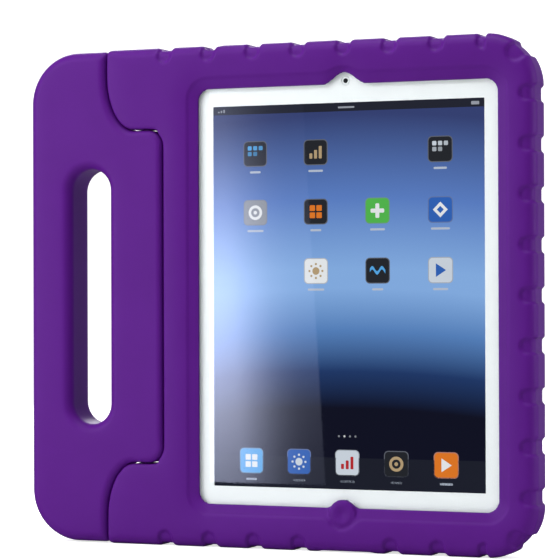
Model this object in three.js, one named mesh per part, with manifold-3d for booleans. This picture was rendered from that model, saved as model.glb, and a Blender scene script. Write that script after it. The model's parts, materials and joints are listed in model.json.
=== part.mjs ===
// A moulded foam tablet case with a carrying handle that swings back as a stand, and the tablet it holds.
// Millimetres. X runs to the right, Y into the case from its front, Z up. It stands on its lower edge.
// The pieces are placed from the middle of the screen, and the whole is then moved onto its base.
import * as THREE from "three";
import { mergeVertices } from "three/addons/utils/BufferGeometryUtils.js";
import Module from "manifold-3d";

const wasm = await Module();
wasm.setup();

// Tablet
const tabletWidth = 185.7;
const tabletHeight = 241.2;
const tabletThickness = 9.4;
const tabletCornerRadius = 10;
const tabletEdgeInset = 4;
const tabletEdgeDepth = 4.2;
const shellWall = 1.2;
const glassThickness = 0.9;
const glassInset = 0.8;
const glassCornerRadius = 9;
const maskThickness = 0.4;
const panelThickness = 2.2;
const panelMargin = 2.5;
const panelCorner = 1.5;
const borderSide = 18.95;
const borderEnd = 22.05;
const stackGap = 0.2;

// Foam case
const caseThickness = 26;
const foamOverGlass = 4.5;
const fitClearance = 0.3;
const sideWall = 8.15;
const endWall = 9.6;
const hingeWall = 7.65;
const outerEdgeRadius = 5.5;
const backEdgeRadius = 10;
const bodyCornerRadius = 26;
const windowInsetSide = 11.85;
const windowInsetEnd = 13.2;
const windowCornerRadius = 6;
const lipWidth = 6.4;
const lipStep = 0.9;
const lipEdgeThickness = 1.2;
const notchHalfWidth = 12;
const notchRise = 6;
const notchLipWidth = 3.5;
const tabRadius = 7.2;
const tabRise = 2.8;
const tabGrooveRadius = 6.2;
const tabGrooveWidth = 0.9;
const tabDish = 0.7;
const tabRim = 1.2;
const tabFlareHalfWidth = 13;
const tabFlareRise = 4.4;

// Handle, and the parting line between it and the case
const handleReach = 64.9;
const handleEndInset = 0.7;
const handleCornerRadius = 27;
const handleEdgeRadius = 5;
const slotWidth = 22.7;
const slotLength = 135;
const slotFromHinge = 29.55;
const partingGap = 0.8;
const partingEdgeRadius = 2.5;
const earHeight = 43;
const tongueCornerRadius = 7;
const earReach = 19;
const earFlat = 2.9;
const earCurveRise = 28.5;
const swingDegrees = 110;
const swingMarginDegrees = 5;

// Hinge
const pinRadius = 2.5;
const pinInHandle = 28;
const pinInEar = 26;
const pinChamfer = 0.6;
const sleeveWall = 1.7;
const sleeveFloor = 1.5;
const sleeveSetback = 1;
const runningClearance = 0.2;

// Scallops round the outer edge
const scallopPitch = 25;
const scallopWidth = 9;
const scallopDepth = 1.4;
const scallopReach = 8.75;
const scallopBackReach = 13;
const cornerScallopWidth = 11;
const scallopShoulder = { across: 0.93, deep: 0.4 };
const scallopFloor = { across: 0.68, deep: 1 };
const edgeTurnSteps = 3;
const edgePathSteps = 2 * edgeTurnSteps + 1;
const scallopEndSides = 8;

// Controls and ports, placed from the tablet's own edges
const homeRadius = 5.5;
const homeHeight = 2.3;
const homeRecess = 0.2;
const homeTravel = 0.4;
const homeHoleClearance = 0.4;
const homeFromEdge = 11;
const homeDish = 0.25;
const homeChamfer = 0.3;
const domeRadius = 2.4;
const domeRise = 0.6;
const switchHalfWidth = 4;
const switchHalfHeight = 3.2;
const buttonWidth = 2;
const buttonProud = 0.5;
const buttonTail = 2.4;
const buttonClearance = 0.3;
const buttonSetback = 1.6;
const sleepLength = 9.4;
const sleepFromSide = 19.85;
const rockerLength = 20;
const rockerFromTop = 32.6;
const switchLength = 5.2;
const switchTravel = 1.8;
const switchFromTop = 54.6;
const reliefDepth = 1.4;
const reliefMargin = 2.2;
const lensRadius = 2.2;
const lensHeight = 2.6;
const lensFromEdge = 11;
const lensChamfer = 0.3;
const moduleOverlap = 0.8;
const moduleHalfWidth = 4;
const moduleHalfHeight = 3.4;
const rearLensRadius = 3.6;
const rearLensHeight = 2;
const rearLensRecess = 0.1;
const rearLensFromSide = 14.85;
const rearLensFromTop = 14.6;
const rearModuleHalf = 5;
const rearModuleThickness = 2.4;
const rearHoleRadius = 7;
const rearHoleFlare = 3;
const jackFromSide = 19.85;
const jackRadius = 2.2;
const jackBore = 1.75;
const jackLength = 12;
const jackFloor = 1;
const jackHoleClearance = 0.4;
const jackHoleRadius = 5;
const jackSetback = 0.8;
const dockWidth = 12;
const dockHeight = 3;
const dockDepth = 4.6;
const dockSetback = 1.2;
const dockMouthWidth = 9.4;
const dockMouthHeight = 2;
const dockFloor = 1;
const dockOpeningWidth = 32;
const dockOpeningHeight = 10;
const edgeCut = 3;
const speakerFromSide = 34.85;
const speakerFromBottom = 16.6;
const speakerWidth = 36;
const speakerHeight = 9;
const speakerDepth = 3.4;
const speakerBoxInset = 2;
const speakerSlotWidth = 1.2;
const speakerSlotHeight = 5;
const speakerSlotPitch = 4;
const speakerSlots = 7;
const cellsFromSide = 17;
const topBay = 30.6;
const bottomBay = 50.6;
const cellThickness = 3.4;
const cellEdge = 0.8;
const cellSpacing = 1.2;
const cellCount = 3;
const cellRadius = 3;
const boardWidth = 32;
const boardEndInset = 5;
const boardThickness = 1;
const chipHeight = 1.6;
const chips = [
  { width: 24, height: 24 },
  { width: 26, height: 20 },
  { width: 16, height: 22 },
  { width: 22, height: 16 },
];

// How far a cut reaches past the face that it opens, and a length beyond every piece
const overshoot = 2;
const beyond = 30;

// Places worked out from the sizes above
const caseFront = -caseThickness / 2;
const caseBack = caseThickness / 2;
const glassFront = caseFront + foamOverGlass;
const tabletBack = glassFront + tabletThickness;
const shellFront = glassFront + glassThickness + stackGap;
const cavityFloor = tabletBack - shellWall;
const displayWidth = tabletWidth - 2 * borderSide;
const displayHeight = tabletHeight - 2 * borderEnd;
const pocketHalfWidth = tabletWidth / 2 + fitClearance;
const pocketHalfHeight = tabletHeight / 2 + fitClearance;
const bodyRight = pocketHalfWidth + sideWall;
const bodyTop = pocketHalfHeight + endWall;
const hingeFace = -(pocketHalfWidth + hingeWall);
const noseReach = caseThickness / 2;
const hingeX = hingeFace - partingGap - noseReach;
const handleLeft = hingeX - handleReach;
const earTip = hingeX - earReach;
const earBottom = bodyTop - earHeight;
const tongueHalfHeight = earBottom - partingGap;
const earCurveTop = earBottom + earCurveRise;
const windowHalfWidth = tabletWidth / 2 - windowInsetSide;
const windowHalfHeight = tabletHeight / 2 - windowInsetEnd;
const lipEdgeFront = glassFront - fitClearance - lipEdgeThickness;
const sleeveRadius = pinRadius + runningClearance + sleeveWall;
const tabTop = glassFront - fitClearance - tabRise;
const homeZ = homeFromEdge - tabletHeight / 2;
const frontLensZ = tabletHeight / 2 - lensFromEdge;
const rearLensX = tabletWidth / 2 - rearLensFromSide;
const rearLensZ = tabletHeight / 2 - rearLensFromTop;
const buttonY = shellFront + buttonSetback;
const sleepX = tabletWidth / 2 - sleepFromSide;
const rockerZ = tabletHeight / 2 - rockerFromTop;
const switchZ = tabletHeight / 2 - switchFromTop;
const jackX = jackFromSide - tabletWidth / 2;
const jackY = shellFront + maskThickness + stackGap + jackRadius + fitClearance;
const homePressed = glassFront + homeRecess + homeHeight + homeTravel;
const dockY = homePressed + fitClearance + dockHeight / 2;
const speakerX = tabletWidth / 2 - speakerFromSide;
const speakerZ = speakerFromBottom - tabletHeight / 2;
const stackBack = cavityFloor - stackGap;
const cellHeight = tabletHeight - topBay - bottomBay;
const cellZ = (bottomBay - topBay) / 2;
const cellsWidth = tabletWidth - 2 * cellsFromSide - boardWidth;
const cellWidth = cellsWidth / cellCount - cellSpacing;
const boardHeight = cellHeight - 2 * boardEndInset;
const boardX = tabletWidth / 2 - cellsFromSide - boardWidth / 2;

// Turns a closed geometry into a solid that can be joined and cut
function solid(geometry) {
  const bare = geometry.clone();
  bare.deleteAttribute("normal");
  bare.deleteAttribute("uv");
  const merged = mergeVertices(bare, 1e-4);
  const corners = merged.index.array;
  const triangles = [];
  for (let i = 0; i < corners.length; i += 3) {
    const [a, b, c] = [corners[i], corners[i + 1], corners[i + 2]];
    if (a !== b && b !== c && c !== a) {
      triangles.push(a, b, c);
    }
  }
  const vertProperties = Float32Array.from(merged.attributes.position.array);
  const mesh = new wasm.Mesh({ numProp: 3, vertProperties, triVerts: Uint32Array.from(triangles) });
  return new wasm.Manifold(mesh);
}

// Turns a solid back into a geometry with flat faces
function geometryOf(shape) {
  const mesh = shape.getMesh();
  const geometry = new THREE.BufferGeometry();
  geometry.setAttribute("position", new THREE.BufferAttribute(mesh.vertProperties, 3));
  geometry.setIndex(new THREE.BufferAttribute(mesh.triVerts, 1));
  return geometry;
}

// The same geometry on the other side of the middle height, still facing out
function mirrored(geometry) {
  const copy = geometry.index ? geometry.toNonIndexed() : geometry.clone();
  copy.scale(1, 1, -1);
  const position = copy.attributes.position;
  const [b, c] = [new THREE.Vector3(), new THREE.Vector3()];
  for (let i = 0; i < position.count; i += 3) {
    b.fromBufferAttribute(position, i + 1);
    c.fromBufferAttribute(position, i + 2);
    position.setXYZ(i + 1, c.x, c.y, c.z);
    position.setXYZ(i + 2, b.x, b.y, b.z);
  }
  return copy;
}

// An outline in the XZ plane made solid from front to back, with rounded or sloped edges.
// The edges run in from the outline, or out from it where grow is true.
function slab(outline, front, back, { edge = 0, edgeDepth = edge, steps = 3, curve = 4, grow = false } = {}) {
  const geometry = new THREE.ExtrudeGeometry(outline, {
    depth: back - front - 2 * edgeDepth,
    bevelEnabled: edge > 0,
    bevelSize: edge,
    bevelOffset: grow ? 0 : -edge,
    bevelThickness: edgeDepth,
    bevelSegments: steps,
    curveSegments: curve,
  });
  geometry.rotateX(Math.PI / 2);
  geometry.translate(0, back - edgeDepth, 0);
  return geometry;
}

// An outline in the XY plane made solid from one height to another
function prism(outline, low, high) {
  const depth = high - low;
  const geometry = new THREE.ExtrudeGeometry(outline, { depth, bevelEnabled: false, curveSegments: 4 });
  geometry.translate(0, 0, low);
  return geometry;
}

// A profile of [radius, height] pairs turned about a vertical axis
function turned(profile, segments = 20) {
  const points = profile.map(([radius, height]) => new THREE.Vector2(radius, height));
  const geometry = new THREE.LatheGeometry(points, segments);
  geometry.rotateX(Math.PI / 2);
  return geometry;
}

// A profile of [radius, depth] pairs turned about an axis that runs into the case
function turnedInward(profile, segments = 24) {
  const points = profile.map(([radius, depth]) => new THREE.Vector2(radius, depth));
  return new THREE.LatheGeometry(points, segments);
}

function block(left, right, front, back, low, high) {
  const geometry = new THREE.BoxGeometry(right - left, back - front, high - low);
  geometry.translate((left + right) / 2, (front + back) / 2, (low + high) / 2);
  return geometry;
}

function polygon(points) {
  return new THREE.Shape(points.map(([x, y]) => new THREE.Vector2(x, y)));
}

// A rectangle with round corners, between two opposite corners
function roundedRectangle(left, right, low, high, radius, Outline = THREE.Shape) {
  const outline = new Outline();
  outline.moveTo(left + radius, low);
  outline.lineTo(right - radius, low);
  outline.absarc(right - radius, low + radius, radius, -Math.PI / 2, 0);
  outline.lineTo(right, high - radius);
  outline.absarc(right - radius, high - radius, radius, 0, Math.PI / 2);
  outline.lineTo(left + radius, high);
  outline.absarc(left + radius, high - radius, radius, Math.PI / 2, Math.PI);
  outline.lineTo(left, low + radius);
  outline.absarc(left + radius, low + radius, radius, Math.PI, Math.PI * 1.5);
  return outline;
}

function centredRectangle(halfWidth, halfHeight, radius) {
  return roundedRectangle(-halfWidth, halfWidth, -halfHeight, halfHeight, radius);
}

// A smooth hump that rises from the line z = base, with the material on its lower side down to z = foot
function hump(halfWidth, base, rise, foot) {
  const outline = new THREE.Shape();
  const points = 12;
  outline.moveTo(-halfWidth, foot);
  outline.lineTo(halfWidth, foot);
  for (let i = 0; i <= points; i += 1) {
    const across = 1 - (2 * i) / points;
    outline.lineTo(across * halfWidth, base + (rise * (1 + Math.cos(Math.PI * across))) / 2);
  }
  return outline;
}

// The tablet's outer form grown by a clearance: square at the glass, with its back edges rounded
function tabletForm(clearance) {
  const outline = centredRectangle(
    tabletWidth / 2 + clearance,
    tabletHeight / 2 + clearance,
    tabletCornerRadius + clearance,
  );
  const front = glassFront - clearance;
  const whole = slab(outline, front - 2 * tabletEdgeDepth, tabletBack + clearance, {
    edge: tabletEdgeInset,
    edgeDepth: tabletEdgeDepth,
    steps: 2,
    curve: 3,
  });
  const [across, up] = [bodyRight + beyond, bodyTop + beyond];
  const ahead = block(-across, across, -caseThickness - beyond, front, -up, up);
  return solid(whole).subtract(solid(ahead));
}

// The case and handle share one soft-edged slab, which each piece's own outline then divides
function envelope(top, cornerLeft) {
  const outline = new THREE.Shape();
  const right = bodyRight;
  outline.moveTo(handleLeft + cornerLeft, -top);
  outline.lineTo(right - bodyCornerRadius, -top);
  outline.absarc(right - bodyCornerRadius, -top + bodyCornerRadius, bodyCornerRadius, -Math.PI / 2, 0);
  outline.absarc(right - bodyCornerRadius, top - bodyCornerRadius, bodyCornerRadius, 0, Math.PI / 2);
  outline.lineTo(handleLeft + cornerLeft, top);
  outline.absarc(handleLeft + cornerLeft, top - cornerLeft, cornerLeft, Math.PI / 2, Math.PI);
  outline.absarc(handleLeft + cornerLeft, -top + cornerLeft, cornerLeft, Math.PI, Math.PI * 1.5);
  const frontForm = slab(outline, caseFront, caseBack + 2 * outerEdgeRadius, { edge: outerEdgeRadius });
  const backForm = slab(outline, caseFront - 2 * backEdgeRadius, caseBack, { edge: backEdgeRadius });
  return solid(frontForm).intersect(solid(backForm));
}

// The S-shaped parting line from outside the lower edge to outside the upper edge.
// It is moved towards the handle by gap, so that the same line serves both pieces.
function followParting(outline, gap) {
  const face = hingeFace - gap;
  const tip = earTip - gap;
  const flat = hingeX - earFlat;
  const bottom = earBottom - gap;
  const rise = earCurveTop - bottom;
  const corner = tongueCornerRadius + partingGap - gap;
  const outside = bodyTop + beyond;
  outline.lineTo(tip, -outside);
  outline.lineTo(tip, -earCurveTop);
  outline.absellipse(flat, -earCurveTop, flat - tip, rise, Math.PI, Math.PI / 2, true);
  outline.lineTo(face - corner, -bottom);
  outline.absarc(face - corner, -bottom + corner, corner, -Math.PI / 2, 0);
  outline.lineTo(face, bottom - corner);
  outline.absarc(face - corner, bottom - corner, corner, 0, Math.PI / 2);
  outline.lineTo(flat, bottom);
  outline.absellipse(flat, earCurveTop, flat - tip, rise, -Math.PI / 2, -Math.PI, true);
  outline.lineTo(tip, outside);
}

function bodyPlan() {
  const outline = new THREE.Shape();
  const outside = bodyTop + beyond;
  outline.moveTo(bodyRight + beyond, outside);
  outline.lineTo(bodyRight + beyond, -outside);
  followParting(outline, 0);
  return solid(slab(outline, caseFront, caseBack, { edge: partingEdgeRadius, steps: 2 }));
}

function handlePlan() {
  const outline = new THREE.Shape();
  const outside = bodyTop + beyond;
  outline.moveTo(handleLeft - beyond, outside);
  outline.lineTo(handleLeft - beyond, -outside);
  followParting(outline, partingGap);
  const slotX = hingeX - slotFromHinge;
  const [left, right] = [slotX - slotWidth / 2, slotX + slotWidth / 2];
  const slot = roundedRectangle(left, right, -slotLength / 2, slotLength / 2, slotWidth / 2, THREE.Path);
  outline.holes.push(slot);
  return solid(slab(outline, caseFront, caseBack, { edge: handleEdgeRadius }));
}

// The ear behind the hinge axis is a barrel round the pin, so that the handle's shoulder can roll past it
function earRelief() {
  const profile = [[0, earBottom - partingGap]];
  const points = 7;
  for (let i = 0; i <= points; i += 1) {
    const angle = (Math.PI / 2) * (i / points);
    const radius = earFlat + (earReach - earFlat) * Math.sin(angle);
    profile.push([radius, earCurveTop - earCurveRise * Math.cos(angle)]);
  }
  profile.push([earReach, bodyTop + beyond], [0, bodyTop + beyond]);
  const barrel = turned(profile, 32);
  const trail = THREE.MathUtils.degToRad(180 - swingDegrees - swingMarginDegrees);
  const far = earReach + beyond;
  const sector = polygon([
    [0, 0],
    [far * Math.cos(trail), far * Math.sin(trail)],
    [-far, far],
    [-far, 0],
  ]);
  const wedge = prism(sector, earBottom - partingGap, bodyTop + beyond - overshoot);
  return solid(wedge).subtract(solid(barrel));
}

// What the handle's back face sweeps clear of the case at full swing
function swingRelief() {
  const angle = THREE.MathUtils.degToRad(swingDegrees);
  const reach = noseReach + partingGap;
  const start = [reach * Math.sin(angle), reach * Math.cos(angle)];
  const far = 2 * caseThickness;
  const end = [start[0] - far * Math.cos(angle), start[1] + far * Math.sin(angle)];
  const sector = polygon([start, end, [-far, end[1]], [-far, start[1]]]);
  return prism(sector, -earBottom, earBottom);
}

// The tongue's nose is half round about the hinge axis, and its two ends are rounded
function noseRelief() {
  const corner = tongueCornerRadius;
  const arc = [];
  const points = 5;
  for (let i = 0; i <= points; i += 1) {
    const angle = (Math.PI / 2) * (i / points);
    const radius = noseReach - corner * (1 - Math.cos(angle));
    arc.push([radius, tongueHalfHeight - corner * (1 - Math.sin(angle))]);
  }
  const lower = arc.map(([radius, height]) => [radius, -height]).reverse();
  const profile = [[0, -tongueHalfHeight], ...lower, ...arc, [0, tongueHalfHeight]];
  const nose = turned(profile, 48);
  const [out, up] = [noseReach + overshoot, tongueHalfHeight + overshoot];
  const ahead = block(0, out, caseFront - overshoot, caseBack + overshoot, -up, up);
  return solid(ahead).subtract(solid(nose));
}

// The way from the front face round the outer edge to the back face: a quarter turn in equal steps,
// one straight stretch across the edge, and a quarter turn again
class EdgePath extends THREE.Curve {
  constructor(frontTurn, backTurn) {
    super();
    this.frontTurn = frontTurn;
    this.backTurn = backTurn;
  }

  angleAt(u) {
    const knot = Math.round(u * edgePathSteps);
    const turnedSteps = Math.min(knot, edgeTurnSteps) + Math.max(0, knot - edgeTurnSteps - 1);
    return ((Math.PI / 2) * turnedSteps) / edgeTurnSteps;
  }

  getPointAt(u) {
    const angle = this.angleAt(u);
    const past = Math.round(u * edgePathSteps) > edgeTurnSteps;
    const turn = past ? this.backTurn : this.frontTurn;
    const middle = past ? caseBack - turn : caseFront + turn;
    return new THREE.Vector3(turn * (Math.sin(angle) - 1), middle - turn * Math.cos(angle), 0);
  }

  getTangentAt(u) {
    const angle = this.angleAt(u);
    return new THREE.Vector3(Math.cos(angle), Math.sin(angle), 0);
  }
}

// One scallop: a shallow channel that follows that way.
// Its frame has x = 0 at the outer edge and the channel at z = 0.
function scallop(width) {
  const half = width / 2;
  const frontTurn = scallopReach - half;
  const backTurn = scallopBackReach - half;
  const across = [
    [-half, -overshoot],
    [-half * scallopShoulder.across, scallopDepth * scallopShoulder.deep],
    [-half * scallopFloor.across, scallopDepth * scallopFloor.deep],
  ];
  const section = [...across, ...across.map(([x, depth]) => [-x, depth]).reverse()];
  const sweep = new THREE.ExtrudeGeometry(polygon(section), {
    steps: edgePathSteps,
    extrudePath: new EdgePath(frontTurn, backTurn),
    bevelEnabled: false,
  });
  const rim = across.map(([x, depth]) => [-x, depth]);
  const frontEnd = turnedInward([[0, -overshoot], ...rim, [0, scallopDepth]], scallopEndSides);
  frontEnd.translate(-frontTurn, caseFront, 0);
  const backRim = rim.map(([x, depth]) => [x, -depth]).reverse();
  const backEnd = turnedInward([[0, -scallopDepth], ...backRim, [0, overshoot]], scallopEndSides);
  backEnd.translate(-backTurn, caseBack, 0);
  return solid(sweep).add(solid(frontEnd)).add(solid(backEnd));
}

function placed(shape, turn, x, z) {
  const geometry = geometryOf(shape);
  geometry.rotateY(turn);
  geometry.translate(x, 0, z);
  return solid(geometry);
}

function withScallops(body) {
  const one = scallop(scallopWidth);
  const corner = scallop(cornerScallopWidth);
  const upward = Math.floor((bodyTop - bodyCornerRadius) / scallopPitch);
  const rightward = Math.floor((bodyRight - bodyCornerRadius) / scallopPitch);
  const leftward = Math.floor(-hingeFace / scallopPitch);
  let cut = body;
  for (let i = -upward; i <= upward; i += 1) {
    cut = cut.subtract(placed(one, 0, bodyRight, i * scallopPitch));
  }
  for (let i = -leftward; i <= rightward; i += 1) {
    const x = i * scallopPitch;
    cut = cut.subtract(placed(one, -Math.PI / 2, x, bodyTop));
    if (Math.abs(x) > dockOpeningWidth / 2) {
      cut = cut.subtract(placed(one, Math.PI / 2, x, -bodyTop));
    }
  }
  const out = bodyCornerRadius * (1 - Math.SQRT1_2);
  cut = cut.subtract(placed(corner, -Math.PI / 4, bodyRight - out, bodyTop - out));
  cut = cut.subtract(placed(corner, Math.PI / 4, bodyRight - out, -bodyTop + out));
  return cut;
}

// The window over the screen: a straight edge over the glass, a sloping lip and a small step
function windowCut() {
  const screen = centredRectangle(windowHalfWidth, windowHalfHeight, windowCornerRadius);
  const notch = hump(notchHalfWidth, windowHalfHeight, notchRise, windowHalfHeight - 2 * notchRise);
  const slope = lipEdgeFront - (caseFront + lipStep);
  const lip = { edgeDepth: slope, steps: 1, grow: true };
  const front = caseFront - slope - overshoot;
  const glassSide = glassFront - fitClearance + overshoot;
  return solid(slab(screen, front, lipEdgeFront, { edge: lipWidth, ...lip }))
    .add(solid(slab(notch, front, lipEdgeFront, { edge: notchLipWidth, ...lip })))
    .add(solid(slab(screen, caseFront, glassSide)))
    .add(solid(slab(notch, caseFront, glassSide)));
}

// The round seat that lets the pad's rim show in the lip below the window
function tabSeat() {
  const rim = tabRadius + tabRim;
  const front = caseFront - overshoot;
  const seat = turnedInward([
    [0, front],
    [rim, front],
    [rim, caseFront + lipStep],
    [tabRadius, caseFront + lipStep],
    [tabRadius, tabTop],
    [0, tabTop],
  ]);
  seat.translate(0, 0, homeZ);
  return solid(seat);
}

// The soft pad over the round button, dished, with its ring groove and a flare on each side
function homeTab() {
  const back = glassFront - fitClearance;
  const inner = tabGrooveRadius - tabGrooveWidth / 2;
  const outer = tabGrooveRadius + tabGrooveWidth / 2;
  const pad = turnedInward([
    [0, tabTop + tabDish],
    [inner * 0.6, tabTop + tabDish * 0.7],
    [inner, tabTop],
    [tabGrooveRadius, tabTop + tabGrooveWidth],
    [outer, tabTop],
    [tabRadius, tabTop + tabDish],
    [tabRadius, back],
    [0, back],
  ]);
  pad.translate(0, 0, homeZ);
  const flare = hump(tabFlareHalfWidth, -windowHalfHeight, tabFlareRise, -windowHalfHeight - lipWidth);
  return solid(pad).add(solid(slab(flare, lipEdgeFront, back)));
}

// A port through an end wall: an outline in the XY plane pushed from the pocket to the outside
function endPort(x, y, width, height, upward) {
  const [halfWidth, halfHeight] = [width / 2, height / 2];
  const outline = roundedRectangle(x - halfWidth, x + halfWidth, y - halfHeight, y + halfHeight, halfHeight);
  const inside = pocketHalfHeight - overshoot;
  const outside = bodyTop + overshoot;
  return solid(upward ? prism(outline, inside, outside) : prism(outline, -outside, -inside));
}

// Room in the pocket's wall over each button on the tablet's edge
function buttonReliefs() {
  const half = buttonWidth / 2 + reliefMargin;
  const length = reliefMargin + rockerLength / 2;
  const outer = pocketHalfWidth + reliefDepth;
  const sleepHalf = sleepLength / 2 + reliefMargin;
  const sleep = block(
    sleepX - sleepHalf,
    sleepX + sleepHalf,
    buttonY - half,
    buttonY + half,
    pocketHalfHeight - overshoot,
    pocketHalfHeight + reliefDepth,
  );
  const side = block(
    pocketHalfWidth - overshoot,
    outer,
    buttonY - half,
    buttonY + half,
    switchZ - switchLength / 2 - switchTravel - reliefMargin,
    rockerZ + length,
  );
  return solid(sleep).add(solid(side));
}

// The blind hole for a sleeve, in the ear above the parting line and in the tongue below it
function sleeveHole(low, high) {
  const radius = sleeveRadius + fitClearance;
  const hole = turned([[0, low], [radius, low], [radius, high], [0, high]]);
  hole.translate(hingeX, 0, 0);
  return hole;
}

const earSleeveLow = earBottom + sleeveSetback;
const earSleeveHigh = earBottom + pinInEar + fitClearance + sleeveFloor;
const handleSleeveHigh = tongueHalfHeight - sleeveSetback;
const handleSleeveLow = tongueHalfHeight - pinInHandle - fitClearance - sleeveFloor;

function caseBody() {
  const divided = envelope(bodyTop, handleCornerRadius).intersect(bodyPlan());
  const pocket = tabletForm(fitClearance);
  const earCut = geometryOf(earRelief());
  earCut.translate(hingeX, 0, 0);
  const swingCut = swingRelief();
  swingCut.translate(hingeX, 0, 0);
  const earHole = sleeveHole(earBottom - overshoot, earSleeveHigh + fitClearance);
  const inside = tabletBack - overshoot;
  const outside = caseBack + overshoot;
  const lensHole = turnedInward([
    [0, inside],
    [rearHoleRadius, inside],
    [rearHoleRadius, caseBack - rearHoleFlare],
    [rearHoleRadius + rearHoleFlare, caseBack],
    [rearHoleRadius + rearHoleFlare, outside],
    [0, outside],
  ]);
  lensHole.translate(rearLensX, 0, rearLensZ);
  const speakerHole = roundedRectangle(
    speakerX - speakerWidth / 2,
    speakerX + speakerWidth / 2,
    speakerZ - speakerHeight / 2,
    speakerZ + speakerHeight / 2,
    speakerHeight / 2,
  );
  const shaped = divided
    .subtract(pocket)
    .subtract(windowCut())
    .subtract(tabSeat())
    .add(homeTab())
    .subtract(solid(earCut))
    .subtract(solid(mirrored(earCut)))
    .subtract(solid(swingCut))
    .subtract(solid(earHole))
    .subtract(solid(mirrored(earHole)))
    .subtract(solid(lensHole))
    .subtract(solid(slab(speakerHole, inside, outside)))
    .subtract(endPort(jackX, jackY, 2 * jackHoleRadius, 2 * jackHoleRadius, true))
    .subtract(endPort(0, dockY, dockOpeningWidth, dockOpeningHeight, false))
    .subtract(buttonReliefs());
  return withScallops(shaped);
}

function handleStand() {
  const noseCut = geometryOf(noseRelief());
  noseCut.translate(hingeX, 0, 0);
  const shoulder = block(
    earTip - partingGap,
    hingeFace + beyond,
    0,
    caseBack + overshoot,
    tongueHalfHeight,
    bodyTop + beyond,
  );
  const hole = sleeveHole(handleSleeveLow - fitClearance, tongueHalfHeight + overshoot);
  return envelope(bodyTop - handleEndInset, handleCornerRadius)
    .intersect(handlePlan())
    .subtract(solid(noseCut))
    .subtract(solid(shoulder))
    .subtract(solid(mirrored(shoulder)))
    .subtract(solid(hole))
    .subtract(solid(mirrored(hole)));
}

function hingePin() {
  const low = tongueHalfHeight - pinInHandle;
  const high = earBottom + pinInEar;
  const tip = pinRadius - pinChamfer;
  return turned([
    [0, low],
    [tip, low],
    [pinRadius, low + pinChamfer],
    [pinRadius, high - pinChamfer],
    [tip, high],
    [0, high],
  ]);
}

// A sleeve with one closed end, moulded into the foam round the pin
function earSocket() {
  const bore = pinRadius + runningClearance;
  return turned([
    [bore, earSleeveLow],
    [sleeveRadius, earSleeveLow],
    [sleeveRadius, earSleeveHigh],
    [0, earSleeveHigh],
    [0, earSleeveHigh - sleeveFloor],
    [bore, earSleeveHigh - sleeveFloor],
    [bore, earSleeveLow],
  ]);
}

function handleBush() {
  const bore = pinRadius + runningClearance;
  return turned([
    [0, handleSleeveLow],
    [sleeveRadius, handleSleeveLow],
    [sleeveRadius, handleSleeveHigh],
    [bore, handleSleeveHigh],
    [bore, handleSleeveLow + sleeveFloor],
    [0, handleSleeveLow + sleeveFloor],
  ]);
}

// A stadium outline that is pushed through the tablet's edge, as a button
function edgePill(length, width, low, high) {
  const outline = roundedRectangle(-length / 2, length / 2, -width / 2, width / 2, width / 2);
  return prism(outline, low, high);
}

// The slot that such a button moves in
function edgeSlot(length) {
  return edgePill(length + 2 * buttonClearance, buttonWidth + 2 * buttonClearance, -edgeCut, edgeCut);
}

function onTopEdge(pill, x) {
  pill.translate(x, buttonY, tabletHeight / 2);
  return pill;
}

function onRightEdge(pill, z) {
  pill.rotateY(Math.PI / 2);
  pill.translate(tabletWidth / 2, buttonY, z);
  return pill;
}

function backShell() {
  const inner = centredRectangle(
    tabletWidth / 2 - shellWall,
    tabletHeight / 2 - shellWall,
    tabletCornerRadius - shellWall,
  );
  const cavity = slab(inner, shellFront - 2 * tabletEdgeDepth, cavityFloor, {
    edge: tabletEdgeInset,
    edgeDepth: tabletEdgeDepth,
    steps: 2,
    curve: 3,
  });
  const front = block(-bodyRight, bodyRight, -caseThickness, shellFront, -bodyTop, bodyTop);
  const inside = cavityFloor - overshoot;
  const outside = tabletBack + overshoot;
  const lensHole = rearLensRadius + fitClearance;
  const lens = turnedInward([[0, inside], [lensHole, inside], [lensHole, outside], [0, outside]]);
  lens.translate(rearLensX, 0, rearLensZ);
  const jackHole = jackBore + jackHoleClearance;
  const jack = turned([[0, -edgeCut], [jackHole, -edgeCut], [jackHole, edgeCut], [0, edgeCut]], 16);
  jack.translate(jackX, jackY, tabletHeight / 2);
  const dock = edgePill(dockMouthWidth, dockMouthHeight + 2 * fitClearance, -edgeCut, edgeCut);
  dock.translate(0, dockY, -tabletHeight / 2);
  let shell = tabletForm(0)
    .subtract(solid(front))
    .subtract(solid(cavity))
    .subtract(solid(lens))
    .subtract(solid(jack))
    .subtract(solid(dock))
    .subtract(solid(onTopEdge(edgeSlot(sleepLength), sleepX)))
    .subtract(solid(onRightEdge(edgeSlot(rockerLength), rockerZ)))
    .subtract(solid(onRightEdge(edgeSlot(switchLength + switchTravel), switchZ - switchTravel / 2)));
  const [half, up] = [speakerSlotWidth / 2, speakerSlotHeight / 2];
  for (let i = 0; i < speakerSlots; i += 1) {
    const x = speakerX + (i - (speakerSlots - 1) / 2) * speakerSlotPitch;
    const slot = block(x - half, x + half, inside, outside, speakerZ - up, speakerZ + up);
    shell = shell.subtract(solid(slot));
  }
  return shell;
}

function glassPanel() {
  const outline = centredRectangle(
    tabletWidth / 2 - glassInset,
    tabletHeight / 2 - glassInset,
    glassCornerRadius,
  );
  const hole = new THREE.Path();
  hole.absarc(0, homeZ, homeRadius + homeHoleClearance, 0, Math.PI * 2);
  outline.holes.push(hole);
  return slab(outline, glassFront, glassFront + glassThickness);
}

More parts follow.
